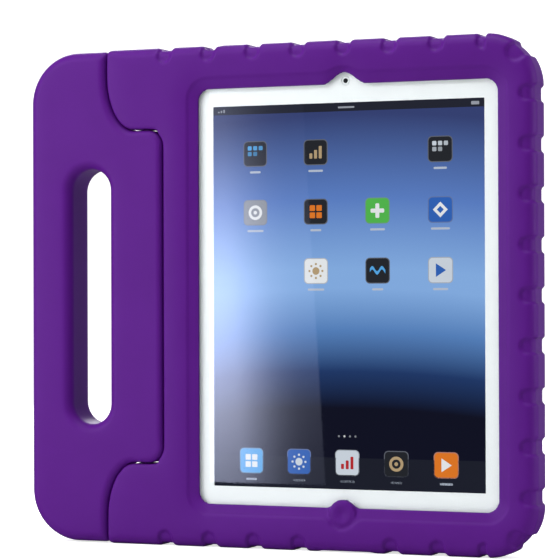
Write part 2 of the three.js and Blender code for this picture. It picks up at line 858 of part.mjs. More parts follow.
function bezelMask() {
  const edge = shellWall + fitClearance;
  const [halfWidth, halfHeight] = [tabletWidth / 2 - edge, tabletHeight / 2 - edge];
  const outline = centredRectangle(halfWidth, halfHeight, tabletCornerRadius - edge);
  const display = new THREE.Path();
  display.moveTo(-displayWidth / 2, -displayHeight / 2);
  display.lineTo(displayWidth / 2, -displayHeight / 2);
  display.lineTo(displayWidth / 2, displayHeight / 2);
  display.lineTo(-displayWidth / 2, displayHeight / 2);
  const home = new THREE.Path();
  home.absarc(0, homeZ, homeRadius + homeHoleClearance, 0, Math.PI * 2);
  const lens = new THREE.Path();
  lens.absarc(0, frontLensZ, lensRadius + fitClearance, 0, Math.PI * 2);
  outline.holes.push(display, home, lens);
  return slab(outline, shellFront, shellFront + maskThickness);
}

function displayPanel() {
  const halfWidth = displayWidth / 2 + panelMargin;
  const halfHeight = displayHeight / 2 + panelMargin;
  const outline = centredRectangle(halfWidth, halfHeight, panelCorner);
  const front = shellFront + maskThickness + stackGap;
  return slab(outline, front, front + panelThickness, { curve: 3 });
}

function homeButton() {
  const front = glassFront + homeRecess;
  return turnedInward([
    [0, front + homeDish],
    [homeRadius * 0.6, front + homeDish * 0.6],
    [homeRadius - homeChamfer, front],
    [homeRadius, front + homeChamfer],
    [homeRadius, front + homeHeight],
    [0, front + homeHeight],
  ]);
}

// The snap dome under the round button, on its small base
function homeSwitch() {
  const top = homePressed + stackGap;
  const dome = turnedInward([
    [0, top],
    [domeRadius * 0.65, top + domeRise * 0.25],
    [domeRadius, top + domeRise],
    [domeRadius, top + 2 * domeRise],
    [0, top + 2 * domeRise],
  ], 16);
  const outline = centredRectangle(switchHalfWidth, switchHalfHeight, domeRise);
  const base = slab(outline, top + domeRise, stackBack, { curve: 3 });
  return solid(dome).add(solid(base));
}

function frontCamera() {
  const front = shellFront;
  const barrel = turnedInward([
    [0, front],
    [lensRadius - lensChamfer, front],
    [lensRadius, front + lensChamfer],
    [lensRadius, front + lensHeight],
    [0, front + lensHeight],
  ]);
  const outline = centredRectangle(moduleHalfWidth, moduleHalfHeight, moduleOverlap);
  const module = slab(outline, front + lensHeight - moduleOverlap, stackBack, { curve: 3 });
  return solid(barrel).add(solid(module));
}

function rearCamera() {
  const back = tabletBack - rearLensRecess;
  const module = back - rearLensHeight - rearModuleThickness;
  const barrel = turnedInward([
    [0, back - rearLensHeight],
    [rearLensRadius, back - rearLensHeight],
    [rearLensRadius, back - lensChamfer],
    [rearLensRadius - lensChamfer, back],
    [0, back],
  ]);
  const outline = centredRectangle(rearModuleHalf, rearModuleHalf, moduleOverlap);
  return solid(barrel).add(solid(slab(outline, module, stackBack, { curve: 3 })));
}

function edgeButton(length) {
  return edgePill(length, buttonWidth, -buttonTail, buttonProud);
}

function batteryCell() {
  const outline = centredRectangle(cellWidth / 2, cellHeight / 2, cellRadius);
  return slab(outline, stackBack - cellThickness, stackBack, { edge: cellEdge, steps: 1, curve: 3 });
}

function logicBoard() {
  const front = stackBack - boardThickness;
  const outline = centredRectangle(boardWidth / 2, boardHeight / 2, cellRadius);
  let whole = solid(slab(outline, front, stackBack, { curve: 3 }));
  chips.forEach(({ width, height }, i) => {
    const z = boardHeight * (0.5 - (i + 0.5) / chips.length);
    const [left, low] = [-width / 2, z - height / 2];
    const chip = block(left, -left, front - chipHeight, front + stackGap, low, low + height);
    whole = whole.add(solid(chip));
  });
  return whole;
}

function dockConnector() {
  const bottom = -tabletHeight / 2 + shellWall + dockSetback;
  const outline = roundedRectangle(-dockWidth / 2, dockWidth / 2, -dockHeight / 2, dockHeight / 2, 1);
  const housing = prism(outline, bottom, bottom + dockDepth);
  const mouth = edgePill(dockMouthWidth, dockMouthHeight, bottom - overshoot, bottom + dockDepth - dockFloor);
  const whole = geometryOf(solid(housing).subtract(solid(mouth)));
  whole.translate(0, dockY, 0);
  return whole;
}

function speakerModule() {
  const halfWidth = speakerWidth / 2 - speakerBoxInset;
  const halfHeight = (speakerHeight - speakerBoxInset) / 2;
  const outline = centredRectangle(halfWidth, halfHeight, speakerBoxInset);
  return slab(outline, stackBack - speakerDepth, stackBack, { edge: cellEdge, steps: 1, curve: 3 });
}

function headphoneJack() {
  const top = tabletHeight / 2 - shellWall - jackSetback;
  const low = top - jackLength;
  return turned([
    [0, low],
    [jackRadius, low],
    [jackRadius, top],
    [jackBore, top],
    [jackBore, low + jackFloor],
    [0, low + jackFloor],
  ], 16);
}

function finish(color, roughness, metalness, more = {}) {
  return new THREE.MeshStandardMaterial({ color, roughness, metalness, ...more });
}

const foam = () => finish("#5a288c", 0.62, 0);
const steel = () => finish("#b9bcc2", 0.3, 1);
const sleevePlastic = () => finish("#2c2c30", 0.5, 0);
const aluminium = () => finish("#c9cbce", 0.38, 1);
const clearGlass = () => finish("#ffffff", 0.04, 0, { transparent: true, opacity: 0.2 });
const whitePaint = () => finish("#f4f6f6", 0.3, 0);
const screen = () => finish("#4f7fc4", 0.2, 0);
const lensBlack = () => finish("#101216", 0.1, 0);
const cellWrap = () => finish("#1d1f22", 0.45, 0);
const circuitBoard = () => finish("#20402e", 0.55, 0);
const portBlack = () => finish("#18191b", 0.5, 0);

const part = new THREE.Group();

function add(name, shape, material, x = 0, y = 0, z = 0) {
  const mesh = new THREE.Mesh(shape.isBufferGeometry ? shape : geometryOf(shape), material);
  mesh.name = name;
  mesh.position.set(x, y, z);
  part.add(mesh);
}

add("case_body", caseBody(), foam());
add("handle_stand", handleStand(), foam());
for (const [place, seen] of [["upper", (geometry) => geometry], ["lower", mirrored]]) {
  add(`hinge_pin_${place}`, seen(hingePin()), steel(), hingeX);
  add(`ear_socket_${place}`, seen(earSocket()), sleevePlastic(), hingeX);
  add(`handle_bush_${place}`, seen(handleBush()), sleevePlastic(), hingeX);
}
add("tablet_back_shell", backShell(), aluminium());
add("glass_panel", glassPanel(), clearGlass());
add("bezel_mask", bezelMask(), whitePaint());
add("display_panel", displayPanel(), screen());
add("home_button", homeButton(), whitePaint(), 0, 0, homeZ);
add("home_switch", homeSwitch(), portBlack(), 0, 0, homeZ);
add("front_camera", frontCamera(), lensBlack(), 0, 0, frontLensZ);
add("rear_camera", rearCamera(), lensBlack(), rearLensX, 0, rearLensZ);
add("sleep_button", onTopEdge(edgeButton(sleepLength), sleepX), portBlack());
add("volume_rocker", onRightEdge(edgeButton(rockerLength), rockerZ), portBlack());
add("side_switch", onRightEdge(edgeButton(switchLength), switchZ), portBlack());
for (let i = 0; i < cellCount; i += 1) {
  const x = cellsFromSide - tabletWidth / 2 + cellWidth / 2 + i * (cellWidth + cellSpacing);
  add(`battery_cell_${i + 1}`, batteryCell(), cellWrap(), x, 0, cellZ);
}
add("logic_board", logicBoard(), circuitBoard(), boardX, 0, cellZ);
add("dock_connector", dockConnector(), portBlack());
add("speaker_module", speakerModule(), portBlack(), speakerX, 0, speakerZ);
add("headphone_jack", headphoneJack(), portBlack(), jackX, jackY, 0);

// The base of the part's frame is the middle of its lower edge
part.position.set(-(handleLeft + bodyRight) / 2, 0, bodyTop);

export default part;
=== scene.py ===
"""The finish of a moulded foam tablet case with a swing-out handle, and of the tablet in its window.

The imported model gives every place. Each foam piece is worked out as a field of distances on a fine grid,
so that its edges are rolled as moulded foam is, and the field's skin becomes the mesh.
"""

import json
import math

import bmesh
import bpy
import numpy as np
import openvdb
from mathutils import Matrix, Vector


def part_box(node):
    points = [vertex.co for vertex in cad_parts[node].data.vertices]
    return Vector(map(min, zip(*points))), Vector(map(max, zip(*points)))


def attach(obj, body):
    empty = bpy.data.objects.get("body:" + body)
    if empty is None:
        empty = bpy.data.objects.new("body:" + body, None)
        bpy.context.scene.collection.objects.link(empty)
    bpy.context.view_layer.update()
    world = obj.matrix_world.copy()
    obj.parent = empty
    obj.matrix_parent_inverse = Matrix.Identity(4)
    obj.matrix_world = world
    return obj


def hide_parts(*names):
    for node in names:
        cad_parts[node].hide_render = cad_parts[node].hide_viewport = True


bl_info = {
    "name": "Foam tablet case",
    "version": (1, 0, 0),
    "blender": (4, 5, 0),
    "location": "3D View > Sidebar > Tablet case",
    "description": "Foam, glass and screen finishes for a moulded tablet case with a swing-out handle",
    "category": "Object",
}

MM = 0.001
FAR = 0.5
CASE_FACES = 190000
HANDLE_FACES = 120000

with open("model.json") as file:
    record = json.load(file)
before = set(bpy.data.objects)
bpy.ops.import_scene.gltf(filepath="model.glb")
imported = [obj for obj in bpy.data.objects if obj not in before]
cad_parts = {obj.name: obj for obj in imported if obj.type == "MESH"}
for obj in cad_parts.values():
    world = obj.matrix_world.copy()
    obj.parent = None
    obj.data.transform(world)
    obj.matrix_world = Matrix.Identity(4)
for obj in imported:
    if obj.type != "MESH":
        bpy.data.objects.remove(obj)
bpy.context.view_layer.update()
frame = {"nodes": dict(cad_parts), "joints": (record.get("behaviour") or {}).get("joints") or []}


def middle_of(node):
    """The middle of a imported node's box."""
    low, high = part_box(node)
    return (low + high) / 2


BODY = "case_with_tablet"
HANDLE = "handle"
CENTRE = Vector((middle_of("glass_panel").x, 0.0, middle_of("glass_panel").z))
CASE_LOW, CASE_HIGH = (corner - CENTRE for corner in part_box("case_body"))
HANDLE_LOW, HANDLE_HIGH = (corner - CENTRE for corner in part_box("handle_stand"))
SHELL_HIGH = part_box("tablet_back_shell")[1] - CENTRE
GLASS_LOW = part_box("glass_panel")[0] - CENTRE
PANEL_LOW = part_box("display_panel")[0] - CENTRE
HALF_THICKNESS = CASE_HIGH.y
HINGE_X = middle_of("hinge_pin_upper").x - CENTRE.x
SWING_JOINT = next(joint for joint in frame["joints"] if joint["name"] == "handle_swing")
SWING = math.radians(SWING_JOINT["range_deg"][1])
SWING_MARGIN = math.radians(3)
PIN_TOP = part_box("ear_socket_upper")[1].z - CENTRE.z
PIN_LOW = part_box("handle_bush_upper")[0].z - CENTRE.z
SLEEVE_RADIUS = (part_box("ear_socket_upper")[1].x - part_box("ear_socket_upper")[0].x) / 2
HOME_Z = middle_of("home_button").z - CENTRE.z
REAR_LENS = middle_of("rear_camera") - CENTRE
SPEAKER = middle_of("speaker_module") - CENTRE
JACK = middle_of("headphone_jack") - CENTRE
DOCK = middle_of("dock_connector") - CENTRE

# Small roundings and stretches of the mouldings, the same wherever they occur
POCKET_CORNER = 10.3 * MM
POCKET_EDGE = 4 * MM
INTO_POCKET = 2 * MM
HOLE_EDGE = 1.2 * MM
SWEPT_EDGE = 1.5 * MM
RELIEF_EDGE = 2 * MM
TURNED_EDGE = 0.6 * MM
PARTING_MEET = 2.5 * MM
EDGE_CHANGE = 8 * MM
WINDOW_EDGE = 0.8 * MM
LIP_ROUNDING = 0.6 * MM
STEP_STRETCH = 0.9 * MM
PAD_RIM = 1.2 * MM
PAD_BRIDGE = 4 * MM
PAD_ROUNDING = 0.8 * MM
PAD_WALL = 0.5 * MM
SCALLOP_WALL = 0.34
LIP_SCALE = 0.95

# Where the gap by the tongue's two ends narrows: from the hinge axis, and from the middle of the case
TIGHT_REACH = 20 * MM
TIGHT_STRETCH = 8 * MM
TIGHT_HEIGHT = 76 * MM
TIGHT_RISE = 6 * MM


def length(name, millimetres, description):
    """A size that a user may change, given in millimetres."""
    return bpy.props.FloatProperty(
        name=name, description=description, default=millimetres * MM, unit="LENGTH", precision=4
    )


def linear(level):
    """The light that a screen level from 0 to 255 stands for."""
    share = level / 255
    return share / 12.92 if level <= 10 else ((share + 0.055) / 1.055) ** 2.4


def colour(name, red, green, blue, description):
    """A colour that a user may change, given as it shows on a screen from 0 to 255."""
    return bpy.props.FloatVectorProperty(
        name=name,
        description=description,
        default=[linear(level) for level in (red, green, blue)],
        subtype="COLOR",
        size=3,
        min=0,
        max=1,
    )


class TABLETCASE_FoamSizes(bpy.types.PropertyGroup):
    """Sizes of the two foam mouldings."""

    voxel: length("Grid step", 0.8, "Step of the grid that the foam is worked out on")
    fit: length("Fit", 0.3, "Clearance between the foam and the tablet")
    outer_edge: length("Outer edge", 5.5, "Radius of the outer edges round the front")
    back_edge: length("Back edge", 10, "Radius of the outer edges round the back")
    crown: length("Crown", 0.6, "How far the faces sink towards their edges")
    crown_width: length("Crown width", 11, "Width of the stretch over which the faces sink")
    body_corner: length("Case corner", 26, "Radius of the case's two outer corners")
    handle_corner: length("Handle corner", 27, "Radius of the handle's two outer corners")
    slot_edge: length("Slot edge", 5, "Radius of the grip slot's rim")
    shoulder_edge: length("Shoulder edge", 4, "Radius of the handle's edge along the parting line")
    seam_edge: length("Parting edge", 1.6, "Radius of the case's edge along the parting line")
    seam_gap: length("Parting gap", 0.7, "Width of the parting line between case and handle")
    tongue_gap: length("Tongue gap", 0.2, "Gap between the tongue's two ends and the ears")
    ear_height: length("Ear height", 43, "Height of each hinge ear")
    ear_reach: length("Ear reach", 19, "How far an ear reaches past the hinge axis")
    ear_flat: length("Ear flat", 2.9, "How far the ear's straight lower edge passes the axis")
    ear_rise: length("Ear curve", 28.5, "Height of the curve at the ear's tip")
    tongue_corner: length("Tongue corner", 8.5, "Radius of the parting line's corners by the hinge")
    nose_edge: length("Nose edge", 3, "Radius of the tongue's front edge by the case")
    slot_width: length("Slot width", 22.7, "Width of the grip slot")
    slot_length: length("Slot length", 135, "Length of the grip slot")
    slot_from_hinge: length("Slot place", 29.55, "From the hinge axis to the middle of the slot")
    window_inset_side: length("Window side", 11.85, "Foam over the tablet at each side of the window")
    window_inset_end: length("Window end", 13.2, "Foam over the tablet above and below the window")
    window_corner: length("Window corner", 6, "Radius of the window's corners")
    lip_width: length("Lip width", 6.4, "Width of the sloping lip round the window")
    lip_step: length("Lip step", 1.35, "How far the outside of the lip lies below the face")
    lip_edge: length("Lip edge", 0.8, "Thickness of the lip over the glass")
    lip_crown: length("Lip crown", 0.95, "How far the face sinks towards the lip")
    notch_width: length("Notch width", 24, "Width of the notch for the front camera")
    notch_rise: length("Notch rise", 6, "Height of the notch for the front camera")
    notch_lip: length("Notch lip", 3.5, "Width of the lip above the notch")
    tab_shift: length("Tab shift", -1.2, "How far the pad lies to the right of the round button")
    tab_drop: length("Tab drop", 1.0, "How far the pad lies below the round button")
    tab_flare: length("Tab flare", 3, "Size of the fillet from the pad to the window's edge")
    tab_radius: length("Tab radius", 7.2, "Radius of the soft pad over the round button")
    tab_rise: length("Tab rise", 3.3, "Thickness of the pad over the round button")
    tab_groove: length("Tab groove", 6.2, "Radius of the ring groove in the pad")
    tab_groove_width: length("Tab groove width", 1.1, "Width of the ring groove in the pad")
    tab_dish: length("Tab dish", 0.8, "Depth of the dish in the pad")
    scallop_pitch: length("Scallop pitch", 25, "From one edge scallop to the next")
    scallop_width: length("Scallop width", 9, "Width of an edge scallop")
    scallop_depth: length("Scallop depth", 1.4, "Depth of an edge scallop")
    scallop_reach: length("Scallop reach", 8.75, "How far a scallop reaches in over the front")
    scallop_back_reach: length("Scallop back reach", 13, "How far a scallop reaches in over the back")
    corner_scallop_width: length("Corner scallop width", 11, "Width of the scallop at each corner")
    lens_hole: length("Lens hole", 7, "Radius of the hole behind the rear lens")
    lens_flare: length("Lens hole flare", 3, "How far the hole behind the rear lens widens")
    dock_width: length("Dock opening width", 32, "Width of the opening for the charging plug")
    dock_height: length("Dock opening height", 10, "Height of the opening for the charging plug")
    jack_hole: length("Jack hole", 5, "Radius of the opening for the headphone plug")
    speaker_width: length("Speaker opening width", 36, "Width of the opening behind the speaker")
    speaker_height: length("Speaker opening height", 9, "Height of the opening behind the speaker")


class TABLETCASE_Finishes(bpy.types.PropertyGroup):
    """Colours of the case and the tablet."""

    foam: colour("Foam", 79, 19, 119, "Moulded foam")
    foam_deep: colour("Foam, deep tone", 74, 16, 112, "Cloudy deeper tone within the foam")
    border: colour("Border", 240, 244, 245, "White paint behind the glass")
    aluminium: colour("Aluminium", 201, 203, 206, "Blasted aluminium back shell")
    steel: colour("Steel", 185, 188, 194, "Ground steel hinge pins")
    black_plastic: colour("Black plastic", 26, 27, 30, "Buttons and ports")
    sleeve: colour("Sleeve plastic", 44, 44, 48, "Hinge bushes and sockets")
    board: colour("Circuit board", 32, 64, 46, "Solder mask of the logic board")
    screen_top: colour("Screen top", 53, 65, 116, "Top of the screen's background")
    screen_upper: colour("Screen upper", 92, 128, 198, "Upper part of the screen's background")
    screen_bright: colour("Screen bright", 134, 175, 229, "Brightest band of the screen's background")
    screen_middle: colour("Screen middle", 86, 130, 190, "Below the bright band")
    screen_lower: colour("Screen lower", 32, 57, 105, "Between the middle and the foot")
    screen_dark: colour("Screen dark", 13, 15, 34, "Foot of the screen's background")


class TABLETCASE_ScreenSizes(bpy.types.PropertyGroup):
    """Sizes of what the screen shows."""

    width: length("Lit width", 147.8, "Width of the lit screen")
    height: length("Lit height", 197.1, "Height of the lit screen")
    bar_height: length("Status bar", 4.4, "Height of the dark bar along the top")
    tile: length("Tile", 13.2, "Side of a tile")
    tile_corner: length("Tile corner", 2.3, "Radius of a tile's corners")
    column_pitch: length("Column pitch", 33.6, "From one column of tiles to the next")
    row_pitch: length("Row pitch", 30.4, "From one row of tiles to the next")
    first_row: length("First row", 25, "From the top of the screen to the first row of tiles")
    dock_row: length("Dock row", 13.5, "From the foot of the screen to the row of tiles there")
    dock_pitch: length("Dock pitch", 26.5, "From one tile to the next in the bottom row")
    layer: length("Layer", 0.05, "Thickness of each drawn layer")


class TABLETCASE_StageSizes(bpy.types.PropertyGroup):
    """The camera, the even light, the reflector and the floor."""

    camera_place: bpy.props.FloatVectorProperty(
        name="Camera place",
        description="Where the camera stands, from the middle of the glass",
        default=(0.4396, -1.1574, 0.0),
        unit="LENGTH",
    )
    camera_yaw: bpy.props.FloatProperty(
        name="Camera yaw",
        description="How far the camera is turned to its left",
        default=math.radians(22.49),
        unit="ROTATION",
    )
    camera_rise: bpy.props.FloatProperty(
        name="Camera rise",
        description="How far the camera looks up",
        default=math.radians(0.38),
        unit="ROTATION",
    )
    camera_roll: bpy.props.FloatProperty(
        name="Camera roll",
        description="How far the camera is rolled clockwise",
        default=math.radians(-0.18),
        unit="ROTATION",
    )
    camera_lens: bpy.props.FloatProperty(
        name="Lens", description="Focal length on a 36 mm sensor", default=155.4, unit="CAMERA"
    )
    ambient: bpy.props.FloatProperty(
        name="Ambient", description="Level of the even light from all round", default=0.38
    )
    mirrored: bpy.props.FloatProperty(
        name="Mirrored room", description="How bright the room shows in gloss and glass", default=0.05
    )
    reflector_back: length("Reflector distance", 400, "How far the reflector stands before the glass")
    reflector_edge: length("Reflector edge", -172.7, "Where its right edge stands at eye height")
    reflector_width: length("Reflector width", 78.5, "Width of the reflector")
    reflector_top: length("Reflector top", 173, "Height of the reflector over the middle of the glass")
    reflector_slant: bpy.props.FloatProperty(
        name="Reflector slant", description="How far its right edge leans left as it rises", default=0.06
    )
    reflector_light: bpy.props.FloatProperty(
        name="Reflector light", description="Brightness of the reflector's brightest place", default=7.6
    )
    floor_width: length("Floor width", 6000, "Width of the floor and the backdrop")
    floor_depth: length("Floor depth", 1800, "How far the floor runs behind the case")
    sweep_radius: length("Sweep radius", 500, "Radius between the floor and the backdrop")


def foam_sizes():
    """The sizes of the foam mouldings."""
    return bpy.context.scene.tabletcase_foam


def finishes():
    """The colours of the case and the tablet."""
    return bpy.context.scene.tabletcase_finishes


def screen_sizes():
    """The sizes of what the screen shows."""
    return bpy.context.scene.tabletcase_screen


def stage_sizes():
    """The places of the camera, the reflector and the floor."""
    return bpy.context.scene.tabletcase_stage


def in_scene(name, data):
    """A new object of a mesh, a lamp or a lens, put in the scene."""
    made = bpy.data.objects.new(name, data)
    bpy.context.scene.collection.objects.link(made)
    return made


# Materials

FOAM_SHINE = 0.09
SCREEN_UNEVEN = 0.9
BAND_BOW = 0.8
CLOUD = 0.03
FOAM_CLOUD = 0.022
LENS_DOT = 1.15 * MM
LENS_DOT_EDGE = 1.4 * MM
GLASS_GAIN = 1.9


def node_maker(tree):
    """A function that adds a node to a tree and sets its plain inputs."""

    def node(kind, inputs=None, **settings):
        made = tree.nodes.new(kind)
        for key, value in settings.items():
            setattr(made, key, value)
        for key, value in (inputs or {}).items():
            made.inputs[key].default_value = value
        return made

    return node


def new_material(name):
    """A material, the functions that add and link its nodes, and its main shader."""
    material = bpy.data.materials.new(name)
    material.use_nodes = True
    tree = material.node_tree
    return material, node_maker(tree), tree.links.new, tree.nodes["Principled BSDF"]


def maths(node, link, operation, a, b, **settings):
    """What an operation makes of two values, each a plain number or what another node gives."""
    made = node("ShaderNodeMath", operation=operation, **settings)
    for place, value in enumerate((a, b)):
        if isinstance(value, bpy.types.NodeSocket):
            link(value, made.inputs[place])
        else:
            made.inputs[place].default_value = value
    return made.outputs["Value"]


def only_surface(material, link, surface):
    """Makes a shader's result all that the material shows."""
    link(surface, material.node_tree.nodes["Material Output"].inputs["Surface"])


def place_in_object(node):
    """Where a point is on the piece, in metres from the frame's origin."""
    return node("ShaderNodeTexCoord").outputs["Object"]


def grained(name, base, deep, roughness, rough_spread, grain, bump, metallic=0.0, cloud=CLOUD):
    """A finish with a cloudy tone, uneven roughness and a fine grain, from two noises."""
    material, node, link, shader = new_material(name)
    place = place_in_object(node)
    clouds = node("ShaderNodeTexNoise", {"Scale": 1 / cloud, "Detail": 3.0, "Roughness": 0.55})
    link(place, clouds.inputs["Vector"])
    tone = node("ShaderNodeMix", data_type="RGBA")
    tone.inputs["A"].default_value = (*base, 1)
    tone.inputs["B"].default_value = (*deep, 1)
    link(clouds.outputs["Fac"], tone.inputs["Factor"])
    link(tone.outputs["Result"], shader.inputs["Base Color"])
    skin = node("ShaderNodeTexNoise", {"Scale": 1 / grain, "Detail": 2.0, "Roughness": 0.6})
    link(place, skin.inputs["Vector"])
    spread = node(
        "ShaderNodeMapRange", {"To Min": roughness - rough_spread, "To Max": roughness + rough_spread}
    )
    link(skin.outputs["Fac"], spread.inputs["Value"])
    link(spread.outputs["Result"], shader.inputs["Roughness"])
    relief = node("ShaderNodeBump", {"Strength": 1.0, "Distance": bump})
    link(skin.outputs["Fac"], relief.inputs["Height"])
    link(relief.outputs["Normal"], shader.inputs["Normal"])
    shader.inputs["Metallic"].default_value = metallic
    return material, shader


def foam_finish():
    """Closed-cell foam with its moulded skin: a satin colour, slightly cloudy, with fine cells."""
    look = finishes()
    material, shader = grained(
        "moulded_foam", look.foam, look.foam_deep, 0.46, 0.06, 0.6 * MM, 0.035 * MM, cloud=FOAM_CLOUD
    )
    shader.inputs["Specular IOR Level"].default_value = FOAM_SHINE
    return material


def plastic_finish(name, tone, roughness=0.45):
    """Moulded plastic with a fine matt grain."""
    base = Vector(tone)
    material, _ = grained(name, base, base * 0.85, roughness, 0.05, 0.3 * MM, 0.008 * MM)
    return material


def metal_finish(name, tone, roughness, grain):
    """Bare metal with a ground or blasted grain."""
    base = Vector(tone)
    material, _ = grained(name, base, base * 0.94, roughness, 0.05, grain, 0.004 * MM, metallic=1.0)
    return material


def border_finish():
    """White paint behind the glass."""
    base = Vector(finishes().border)
    material, _ = grained("white_border_paint", base, base * 0.985, 0.4, 0.04, 0.5 * MM, 0.002 * MM)
    return material


def glass_finish():
    """Thin front glass: clear, with a mirror on its outer faces that grows towards a grazing view."""
    material, node, link, shader = new_material("front_glass")
    material.node_tree.nodes.remove(shader)
    clear = node("ShaderNodeBsdfTransparent", {"Color": (0.985, 0.99, 0.99, 1)})
    mirror = node("ShaderNodeBsdfGlossy", {"Color": (1, 1, 1, 1)})
    smear = node("ShaderNodeTexNoise", {"Scale": 22.0, "Detail": 2.0})
    link(place_in_object(node), smear.inputs["Vector"])
    haze = node("ShaderNodeMapRange", {"To Min": 0.01, "To Max": 0.035})
    link(smear.outputs["Fac"], haze.inputs["Value"])
    link(haze.outputs["Result"], mirror.inputs["Roughness"])
    edge = node("ShaderNodeFresnel", {"IOR": 1.5})
    back = node("ShaderNodeNewGeometry").outputs["Backfacing"]
    facing = maths(node, link, "SUBTRACT", 1.0, back)
    both_faces = maths(node, link, "MULTIPLY", edge.outputs["Fac"], GLASS_GAIN)
    share = maths(node, link, "MULTIPLY", both_faces, facing, use_clamp=True)
    mix = node("ShaderNodeMixShader")
    link(share, mix.inputs["Fac"])
    link(clear.outputs["BSDF"], mix.inputs[1])
    link(mirror.outputs["BSDF"], mix.inputs[2])
    only_surface(material, link, mix.outputs["Shader"])
    return material


def front_lens_finish():
    """The front camera: a black dot in the middle, and the border's white round it."""
    look = finishes()
    material, node, link, shader = new_material("front_lens")
    away = node("ShaderNodeVectorMath", operation="DISTANCE")
    link(place_in_object(node), away.inputs[0])
    middle = middle_of("front_camera")
    away.inputs[1].default_value = (middle.x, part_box("front_camera")[0].y, middle.z)
    ring = node("ShaderNodeMapRange", {"From Min": LENS_DOT, "From Max": LENS_DOT_EDGE})
    link(away.outputs["Value"], ring.inputs["Value"])
    tone = node("ShaderNodeMix", data_type="RGBA")
    tone.inputs["A"].default_value = (0.012, 0.013, 0.016, 1)
    tone.inputs["B"].default_value = (*look.border, 1)
    link(ring.outputs["Result"], tone.inputs["Factor"])
    link(tone.outputs["Result"], shader.inputs["Base Color"])
    shader.inputs["Roughness"].default_value = 0.25
    return material


def self_lit(shader, link, tone):
    """Makes a surface that shows only its own light, in a tone."""
    link(tone, shader.inputs["Emission Color"])
    shader.inputs["Emission Strength"].default_value = 1.0
    shader.inputs["Base Color"].default_value = (0, 0, 0, 1)
    shader.inputs["Specular IOR Level"].default_value = 0.0


def lit(name, tone):
    """A plain lit colour on the screen, with a faint unevenness of its own light."""
    material, node, link, shader = new_material(name)
    uneven = node("ShaderNodeTexNoise", {"Scale": 60.0, "Detail": 1.0})
    link(place_in_object(node), uneven.inputs["Vector"])
    mix = node("ShaderNodeMix", data_type="RGBA")
    mix.inputs["A"].default_value = (*tone, 1)
    mix.inputs["B"].default_value = (*(Vector(tone) * SCREEN_UNEVEN), 1)
    link(uneven.outputs["Fac"], mix.inputs["Factor"])
    self_lit(shader, link, mix.outputs["Result"])
    return material


def ramp_of(node, link, value, stops, interpolation="LINEAR"):
    """A colour ramp with the given (place, colour) stops, driven by a value, and its colour."""
    ramp = node("ShaderNodeValToRGB")
    elements = ramp.color_ramp.elements
    while len(elements) < len(stops):
        elements.new(0.5)
    for element, (place, tone) in zip(elements, stops):
        element.position = place
        element.color = (*tone, 1)
    ramp.color_ramp.interpolation = interpolation
    link(value, ramp.inputs["Fac"])
    return ramp.outputs["Color"]


def screen_bands():
    """The screen's background, from its foot at 0 to its top at 1."""
    look = finishes()
    return [
        (0.0, look.screen_dark),
        (0.21, look.screen_dark),
        (0.305, look.screen_lower),
        (0.41, look.screen_middle),
        (0.52, look.screen_bright),
        (0.57, look.screen_bright),
        (0.752, look.screen_upper),
        (0.97, look.screen_top),
    ]


def screen_finish():
    """The lit screen's background: bands of blue from top to foot, which sag slightly at the sides."""
    material, node, link, shader = new_material("screen_background")
    place = node("ShaderNodeSeparateXYZ")
    link(place_in_object(node), place.inputs["Vector"])
    across = maths(node, link, "SUBTRACT", place.outputs["X"], CENTRE.x)
    bow = maths(node, link, "POWER", across, 2.0)
    drop = maths(node, link, "MULTIPLY", bow, BAND_BOW)
    height = maths(node, link, "ADD", place.outputs["Z"], drop)
    half = screen_sizes().height / 2
    share = node("ShaderNodeMapRange", {"From Min": CENTRE.z - half, "From Max": CENTRE.z + half})
    link(height, share.inputs["Value"])
    self_lit(shader, link, ramp_of(node, link, share.outputs["Result"], screen_bands()))
    return material


def wear(node_name, material):
    """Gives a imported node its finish."""
    piece = frame["nodes"][node_name]
    piece.data.materials.clear()
    piece.data.materials.append(material)


# The foam's field of distances: below zero is foam


def smooth_step(value):
    """A soft step from 0 to 1 while the value goes from 0 to 1."""
    share = np.clip(value, 0, 1)
    return share * share * (3 - 2 * share)


def blend_least(a, b, width):
    """The lesser of two fields, with a fillet of about that width where they meet."""
    share = np.maximum(width - np.abs(a - b), 0) / width
    return np.minimum(a, b) - share * share * width / 4


def blend_most(a, b, width):
    """The greater of two fields, with a rounded edge of about that width where they meet."""
    return -blend_least(-a, -b, width)


def arc(centre_x, centre_z, radius_x, radius_z, start, end, steps=20):
    """Points on part of an ellipse, from one angle to another in degrees."""
    angles = [math.radians(start + (end - start) * i / steps) for i in range(steps + 1)]
    return [(centre_x + radius_x * math.cos(a), centre_z + radius_z * math.sin(a)) for a in angles]


def outline_distance(outline, x, z):
    """The distance from each place to a closed outline, below zero inside it."""
    nearest = np.full(np.broadcast(x, z).shape, FAR * 2)
    inside = np.zeros(nearest.shape, bool)
    for (ax, az), (bx, bz) in zip(outline, outline[1:] + outline[:1]):
        run_x, run_z = bx - ax, bz - az
        if run_x == 0 and run_z == 0:
            continue
        along = np.clip(((x - ax) * run_x + (z - az) * run_z) / (run_x**2 + run_z**2), 0, 1)
        nearest = np.minimum(nearest, np.hypot(x - ax - along * run_x, z - az - along * run_z))
        if run_z:
            inside ^= ((az > z) != (bz > z)) & (x < ax + (z - az) / run_z * run_x)
    return np.where(inside, -nearest, nearest)


def rounded_plate(side, face, radius):
    """The distance to a plate, from those to its outline and to its faces, with its edges rounded."""
    out_side = side + radius
    out_face = face + radius
    outside = np.hypot(np.maximum(out_side, 0), np.maximum(out_face, 0))
    return outside + np.minimum(np.maximum(out_side, out_face), 0) - radius


def rounded_rectangle(x, z, half_x, half_z, corner):
    """The distance to a rectangle about the middle, with round corners."""
    return rounded_plate(np.abs(x) - half_x, np.abs(z) - half_z, corner)


